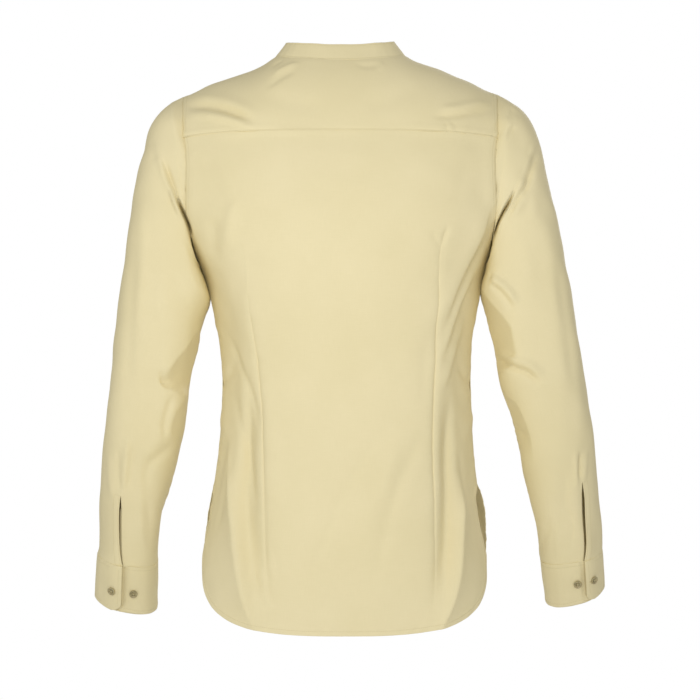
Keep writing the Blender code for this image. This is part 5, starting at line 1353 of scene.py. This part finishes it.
def makeSleeve(name):
    # the sleeve's rings, open below the slit's top, with folds, seam and slit raised along the normals
    look, slit = sleeveSettings, sleeves[name]["slit"]
    # columns closer together at the back beside the armhole, where the deep crease runs
    even, crowd = np.linspace(0, 1, 2001), look["crowd"]
    run = np.cumsum(1 + crowd["extra"] * np.exp(-(((even - crowd["at"]) / crowd["reach"]) ** 2)))
    across = np.interp(np.linspace(0, 1, look["columns"] + 1), (run - run[0]) / (run[-1] - run[0]), even)
    # stations spaced evenly down the sleeve, with one at the slit's top and close ones at both ends
    cap = np.concatenate([np.linspace(0, 1, 9)[:-1] ** 1.3, np.linspace(1, 5, 30)[:-1]])
    arm = np.linspace(5, slit["top"], 150)
    steps = crowdedSteps(look["slitLength"], look["spacing"], True, True)[1:] / look["slitLength"]
    station = np.concatenate([cap, arm, slit["top"] + (look["cuffSeam"] - slit["top"]) * steps])
    station = np.append(station, look["cuffSeam"] + 0.06)     # turned in between the cuff's two layers
    station = np.repeat(station[:, None], len(across), axis=1)
    openRun = np.clip((station - slit["top"]) / (look["cuffSeam"] - slit["top"]), 0, 1)
    gap = look["slitOpening"] / look["wristGirth"] * np.sin(math.pi * openRun**0.7) + 0.0008 * (openRun > 0)
    share = slitShare(name, station) + across[None, :]
    share = share + (1 - across[None, :]) ** 24 * gap / 2 - across[None, :] ** 24 * gap / 2
    points = easedPoints(sleevePoint(name, share, station))
    inside = np.mean(points, axis=1, keepdims=True)
    normals = gridNormals(points, inside, wrap=True)
    below = smooth((station - slit["top"]) / 0.5)
    relief = below * underlapDepth * (across[None, :] - 0.5) * np.abs(2 * across[None, :] - 1)
    relief += sleeveRelief(name, points, normals, station)
    girth = edgeRuns(points)["left"][:, -1:]
    seam = (share - 0.5) * girth
    relief += np.where(seam >= 0, seamRelief("armhole", np.abs(seam), points, 12), 0)
    relief += 0.00035 * softWaves(share * 0.4, 0 * share, 13, 0.014, 1.0, 6) * np.exp(-((station / 0.5) ** 2))
    overEdge = distanceTo(points, points[station[:, 0] >= slit["top"]][:, -1])
    flap = np.where(across[None, :] > 0.5, overEdge, 1.0)
    relief += 0.00035 * (1 - smooth((flap - 0.0100) / 0.0008)) * (openRun > 0)
    for place in look["slitStitches"]:
        relief -= 0.00022 * np.exp(-(((flap - place) / 0.0008) ** 2)) * (openRun > 0)
    points = withArmholeFolds(points + normals * relief[..., None])
    closed = station[:, 0] <= slit["top"]
    points[closed, -1] = points[closed, 0]
    normals = gridNormals(points, inside, wrap=True)
    piece = clothPiece(f"{name} sleeve cloth", [points], look["thickness"], f"{name}_sleeve")

    cloth, part = (points, normals, look["thickness"]), np.s_[:, len(across) * 3 // 4 :]
    rows = [seamRow(cloth, seam, place, 1) for place in felledRows]
    rows += [seamRow(cloth, overEdge, place, 1, part, ~closed) for place in look["slitStitches"]]
    top = int(np.argmax(~closed)) - 1
    rows.append(stitchRow(points[top, -6:], normals[top, -6:], look["thickness"] / 2 + threadSizes["clear"]))
    return piece, threadPiece(f"{name} sleeve stitching", rows)


def makeSleevePlacket(name):
    # a strip of the sleeve's own surface under the slit, sunk below the cloth
    look, slit = sleeveSettings, sleeves[name]["slit"]
    station = np.linspace(slit["top"] + 0.45, look["cuffSeam"] - 0.06, 40)
    across = np.linspace(-0.25, 0.75, 12) * look["placketWidth"] / look["wristGirth"]
    station = np.repeat(station[:, None], len(across), axis=1)
    share = slitShare(name, station) + across[None, :]
    points = sleevePoint(name, share, station)
    turn = np.linspace(0, 1, 24)[None, :]
    rings = sleevePoint(name, turn + 0 * station[:, :1], station[:, :1] + 0 * turn)
    normals = gridNormals(points, np.mean(rings, axis=1, keepdims=True))
    sunk = sleeveRelief(name, points, normals, station) * 0.7 - look["placketDepth"]
    points = points + normals * sunk[..., None]
    return clothPiece(f"{name} placket cloth", [points], look["thickness"], f"{name}_sleeve_placket")


cuffSettings = {
    "thickness": 0.0016, "lap": 0.105, "corner": 0.016, "girth": 0.270, "length": 0.062, "topstitch": 0.0050,
    "columns": 104, "proud": 0.0024,     # how far the lapping end stands off
    "buttonTurns": {"outer": 0.955, "inner": 0.131}, "buttonAlong": {"left": 0.57, "right": 0.50},
}


def cuffBase(name, turn, along):
    # turn 0 is the under end and 1 the lapping end, along 0 is the seam and 1 the free edge
    look = cuffSettings
    seam = np.full(np.shape(turn), sleeveSettings["cuffSeam"])
    share = slitShare(name, seam) - look["lap"] + turn * (1 + look["lap"])
    return sleevePoint(name, share, seam + (sleeveSettings["cuffEnd"] - sleeveSettings["cuffSeam"]) * along)


def cuffNormal(name, turn, along):
    # cross product of the cuff's two directions, by small steps, turned outwards
    step = 1e-4
    flip = -1.0 if name == "left" else 1.0
    first = cuffBase(name, turn + step, along) - cuffBase(name, turn - step, along)
    second = cuffBase(name, turn, along + step) - cuffBase(name, turn, along - step)
    return unit(np.cross(first, second)) * flip


def cuffPoint(name, turn, along):
    # the wall winds outwards by a little more than its own thickness over one turn
    spiral = (underlapDepth + 0.0004) * (turn - 0.5) + cuffSettings["proud"] * smooth((turn - 0.90) / 0.10)
    return cuffBase(name, turn, along) + cuffNormal(name, turn, along) * spiral[..., None]


def makeCuff(name):
    # one turn and a lap round the cuff's rings, its free corner cut round
    look = cuffSettings
    ends = np.array([0, 0.0003, 0.0008, 0.0016, 0.0026, 0.0038, 0.0052, 0.0068, 0.0088, 0.0110, 0.0135])
    ends = np.append(ends, look["corner"]) / look["girth"]
    turn = np.concatenate([np.linspace(0, 1 - ends[-1], look["columns"]), 1 - ends[-2::-1]])
    rows = crowdedSteps(look["length"], 0.0028, True, True) / look["length"]
    first = seamGap / look["length"]
    last = 1 - cornerCut((1 - turn) * look["girth"], look["corner"]) / look["length"]
    along = first + (last[None, :] - first) * rows[:, None]
    wide = np.repeat(turn[None, :], len(rows), axis=0)
    points = cuffPoint(name, wide, along)
    normals = cuffNormal(name, wide, along)
    edge = np.concatenate([points[:, 0], points[-1], points[:, -1][::-1]])
    away = {"free": distanceTo(points, edge), "seam": distanceTo(points, points[0])}
    relief = softWaves(wide * look["girth"], along * look["length"], 51, 0.040, 0.00040)
    for field in away.values():
        relief -= 0.00022 * np.exp(-(((field - look["topstitch"]) / 0.0009) ** 2))
    # the layer underneath dips beside the lapping end's edge
    flap = distanceTo(points, np.concatenate([points[:, -1], points[-1, -30:][::-1]]))
    relief -= 0.0030 * np.exp(-(((flap - 0.0045) / 0.0016) ** 2)) * (wide < 0.3)
    relief += 0.00016 * softWaves(wide * look["girth"], 0 * along, 52, 0.012, 1.0, 5)
    points = points + normals * relief[..., None]
    piece = clothPiece(f"{name} cuff cloth", [points], look["thickness"], f"{name}_cuff")

    cloth, ends = (points, normals, look["thickness"]), (slice(0, 20), slice(-24, None))
    rows = bandRows(cloth, away, look["topstitch"], slice(4, -11), slice(7, -8), ends)
    return piece, threadPiece(f"{name} cuff stitching", rows)


sleevePieces = {}
for name in ("left", "right"):
    sleevePieces[name] = [makeSleeve(name), makeSleevePlacket(name), makeCuff(name)]
print("sleeves and cuffs made")


buttonSettings = {
    "radius": 0.0055, "thickness": 0.0026, "rings": 26, "around": 64,
    "holeAway": 0.00175, "holeRadius": 0.00085, "holeDepth": 0.0013, "lift": 0.0003,
    "drops": (0.118, 0.206, 0.294, 0.382, 0.470, 0.558, 0.640),     # down the front
    "profile": ((0.0, 0.60), (0.45, 0.60), (0.58, 0.66), (0.72, 0.93), (0.82, 1.0), (0.92, 0.95),
                (0.98, 0.78),
                (1.0, 0.55), (0.97, 0.25), (0.86, 0.06), (0.78, 0.0), (0.0, 0.0)),
}
crossSizes = {"length": 0.0040, "width": 0.00070, "height": 0.00050}
holeSizes = {
    "long": 0.0130, "wide": 0.0024, "lip": 0.00062, "lift": 0.0001,
    "bar": {"length": 0.0011, "width": 0.00034, "height": 0.00034},
}


def makeButton(name, node, seat, outward, upright):
    # turned profile on a polar grid, with four holes sunk in its face
    look = buttonSettings
    seat = seat + outward * look["lift"]
    radius, thick = look["radius"], look["thickness"]
    profile = np.array(look["profile"])
    steps = np.concatenate([[0], np.cumsum(np.linalg.norm(np.diff(profile * (1, 0.45), axis=0), axis=1))])
    flat = np.linspace(0, steps[1], 14)
    where = np.concatenate([flat, np.linspace(steps[1], steps[-2], 22)[1:], [steps[-1]]])
    r = np.interp(where, steps, profile[:, 0]) * radius
    h = np.interp(where, steps, profile[:, 1]) * thick
    turn = np.linspace(0, 2 * math.pi, look["around"], endpoint=False)
    x, y = r[:, None] * np.cos(turn), r[:, None] * np.sin(turn)
    z = np.repeat(h[:, None], len(turn), axis=1)
    top = np.arange(len(where))[:, None] < len(flat) + 4
    place = look["holeAway"] / math.sqrt(2)
    for sx, sy in ((1, 1), (1, -1), (-1, 1), (-1, -1)):
        near = np.hypot(x - sx * place, y - sy * place) / look["holeRadius"]
        z -= np.where(top, look["holeDepth"] * smooth((1.25 - near) / 0.5), 0)
    outward = unit(np.array(outward))
    across = unit(np.cross(upright, outward))
    frameAxes = np.stack([across, np.cross(outward, across), outward])
    points = np.stack([x, y, z], axis=-1) @ frameAxes + seat
    rings, around = points.shape[:2]
    vertices = np.concatenate([points[1:-1].reshape(-1, 3), points[0, :1], points[-1, :1]])
    index = np.arange((rings - 2) * around).reshape(rings - 2, around)
    beside = np.roll(index, -1, axis=1)
    quads = np.stack([index[:-1], beside[:-1], beside[1:], index[1:]], axis=-1).reshape(-1, 4)
    first = np.stack([index[0], beside[0], np.full(around, len(vertices) - 2)], axis=-1)
    last = np.stack([beside[-1], index[-1], np.full(around, len(vertices) - 1)], axis=-1)
    mesh = bpy.data.meshes.new(name)
    mesh.from_pydata(vertices.tolist(), [], quads.tolist() + first.tolist() + last.tolist())
    turnOutwards(mesh)
    mesh.materials.append(material("moulded polyester button resin"))
    mesh.shade_smooth()
    piece = newObject(name, mesh)
    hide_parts(node)
    # two crossed bars of thread through the holes
    middle = seat + outward * (thick * 0.60 + 0.00012) + np.zeros((2, 3))
    forward = unit(np.array([frameAxes[0] + frameAxes[1], frameAxes[0] - frameAxes[1]]))
    cross = threadBars(middle, forward, np.stack([outward, outward]), crossSizes)
    threadPiece(f"{name} thread", [cross])
    return piece


def buttonholeBars(seat, outward, along):
    # close bars across both lips of the hole, and wider tacks at its two ends
    look = holeSizes
    seat = seat + outward * look["lift"]
    outward, along = unit(np.array(outward)), unit(np.array(along))
    aside = np.cross(outward, along)
    steps = np.arange(-look["long"] / 2, look["long"] / 2, look["bar"]["width"])[:, None]
    rows = []
    for lip in (-1, 1):
        middle = seat + along * steps + aside * lip * look["lip"]
        rows.append(threadBars(middle, aside + 0 * middle, outward + 0 * middle, look["bar"]))
    tack = dict(look["bar"], length=look["wide"])
    ends = seat + along * np.array([-1.06, -1.01, 1.01, 1.06])[:, None] * look["long"] / 2
    rows.append(threadBars(ends, aside + 0 * ends, outward + 0 * ends, tack))
    return np.concatenate(rows)


def outerFace(piece, seat, outward):
    # where the line through a seat meets the cloth's outer face, so that a button lies on it
    cloth = piece.evaluated_get(bpy.context.evaluated_depsgraph_get())
    hit, place, _, _ = cloth.ray_cast(tuple(seat + outward * 0.02), tuple(-outward), distance=0.05)
    return np.array(place) if hit else seat


def makeButtons():
    bpy.context.view_layer.update()
    made, holes = [], []
    for number, drop in enumerate(buttonSettings["drops"], 1):
        if drop >= chestDrop:
            seat = bodyPoint(np.array(math.pi), np.array(drop))
        else:
            shares = np.linspace(0, 1, 50)
            levels = -shoulderPoint(np.zeros(50), -shares)[:, 2]
            seat = shoulderPoint(np.array(0.0), np.array(-np.interp(drop, levels, shares)))
        outward = unit(np.array([0, -1.0, 0.15 if drop < chestDrop else 0.0]))
        seat = outerFace(leftFront, seat, outward)
        holes.append(buttonholeBars(seat, outward, (0, 0, 1.0)))
        name = f"front button {number} resin"
        made.append(makeButton(name, f"front_button_{number}", seat, outward, (0, 0, 1.0)))
    threadPiece("front buttonholes", holes)
    middle = np.array(collarSettings["height"] / 2)
    low, high = (collarPoint(np.array(math.pi), middle + step) for step in (-0.001, 0.001))
    up = unit(high - low)
    outward = unit(np.cross((1.0, 0, 0), up))
    outward = outward if outward[1] < 0 else -outward
    seat = outerFace(collar, collarPoint(np.array(math.pi), middle), outward)
    threadPiece("collar buttonhole", [buttonholeBars(seat, outward, (1.0, 0, 0))])
    made.append(makeButton("collar button resin", "collar_button", seat, outward, up))
    for name in ("left", "right"):
        cuff = sleevePieces[name][2][0]
        for label, turn in cuffSettings["buttonTurns"].items():
            place = np.array(turn), np.array(cuffSettings["buttonAlong"][name])
            outward = cuffNormal(name, *place)
            seat = outerFace(cuff, cuffPoint(name, *place), outward)
            up = unit(cuffPoint(name, place[0], place[1] - 0.05) - cuffPoint(name, place[0], place[1] + 0.05))
            if label == "outer":
                bars = buttonholeBars(seat, outward, np.cross(up, outward))
                threadPiece(f"{name} cuff buttonhole", [bars])
            node = f"{name}_cuff_{label}_button"
            made.append(makeButton(f"{name} cuff {label} button resin", node, seat, outward, up))
    return made


buttons = makeButtons()
print("buttons made:", len(buttons))


# Each panel as cut: its piece, flat width and length, the area left of that rectangle, and its stitching.
sheetCuts = [
    (back, (0.60, 0.64), 0.283, [backStitching]),
    (yoke, (0.46, 0.22), 0.0605, [yokeStitching]),
    (leftFront, (0.30, 0.76), 0.167, [leftFrontStitching]),
    (rightFront, (0.30, 0.76), 0.167, [rightFrontStitching]),
    (collar, (0.48, 0.025), None, [collarStitching]),
]
for sleeve, placket, cuff in sleevePieces.values():
    sheetCuts += [
        (sleeve[0], (0.44, 0.62), 0.190, [sleeve[1]]),
        (placket, (0.0165, 0.085), None, []),
        (cuff[0], (0.298, 0.062), None, [cuff[1]]),
    ]


# The studio: a pale floor below the shirt, a soft key light before its back, a larger fill light before its
# front, and a white sky that is brighter on the camera's side.
studio = {
    "floor": {"size": 1.9, "z": -1.05},
    "key": {"place": (0.16, 1.35, -0.27), "size": 0.7, "power": 4.4},
    "fill": {"place": (-0.55, -1.70, 0.25), "size": 1.1, "power": 12.0},
    "sky": {"even": 0.45, "ahead": 0.56, "from": (0.15, 0.94, -0.30)},
    "aim": (0.0, 0.0, -0.35),
}
half = studio["floor"]["size"] / 2
floorMesh = bpy.data.meshes.new("floor")
corners = [(-half, -half), (half, -half), (half, half), (-half, half)]
floorMesh.from_pydata([(x, y, studio["floor"]["z"]) for x, y in corners], [], [(0, 1, 2, 3)])
floorMesh.materials.append(material("matt white studio paper"))
floor = bpy.data.objects.new("floor", floorMesh)
bpy.context.scene.collection.objects.link(floor)

for name in ("key", "fill"):
    look = studio[name]
    light = bpy.data.lights.new(name, "AREA")
    light.shape, light.size, light.energy = "SQUARE", look["size"], look["power"]
    lamp = bpy.data.objects.new(name, light)
    lamp.location = look["place"]
    lamp.visible_camera = False
    lamp.rotation_euler = (Vector(studio["aim"]) - Vector(look["place"])).to_track_quat("-Z", "Y").to_euler()
    bpy.context.scene.collection.objects.link(lamp)

world = bpy.data.worlds.new("white studio")
world.use_nodes = True
sky = world.node_tree
sky.nodes.clear()
rays = addNode(sky, "ShaderNodeLightPath")
seen = addNode(sky, "ShaderNodeBackground", links={"Color": (1, 1, 1, 1), "Strength": 1.0})
toward = addNode(sky, "ShaderNodeTexCoord")
facing = {0: (toward, "Generated"), 1: studio["sky"]["from"]}
facing = addNode(sky, "ShaderNodeVectorMath", {"operation": "DOT_PRODUCT"}, facing)
ahead = addNode(sky, "ShaderNodeMath", {"operation": "MAXIMUM"}, {0: (facing, "Value"), 1: 0.0})
brightness = {0: (ahead, 0), 1: studio["sky"]["ahead"], 2: studio["sky"]["even"]}
strength = addNode(sky, "ShaderNodeMath", {"operation": "MULTIPLY_ADD"}, brightness)
lit = addNode(sky, "ShaderNodeBackground", links={"Color": (1, 1, 1, 1), "Strength": (strength, 0)})
mixed = addNode(sky, "ShaderNodeMixShader", links={0: (rays, "Is Camera Ray"), 1: (lit, 0), 2: (seen, 0)})
addNode(sky, "ShaderNodeOutputWorld", links={"Surface": (mixed, 0)})
bpy.context.scene.world = world
bpy.context.scene.view_settings.view_transform = "Standard"

cameraSettings = {"place": (-0.013, 4.0, -0.377), "turn": (90.0, 0.0, 180.0), "lens": 158.2, "sensor": 36.0}
camera = bpy.data.cameras.new("camera")
camera.lens, camera.sensor_width = cameraSettings["lens"], cameraSettings["sensor"]
viewer = bpy.data.objects.new("camera", camera)
viewer.location = cameraSettings["place"]
viewer.rotation_euler = [math.radians(a) for a in cameraSettings["turn"]]
bpy.context.scene.collection.objects.link(viewer)
bpy.context.scene.camera = viewer
print("studio set")
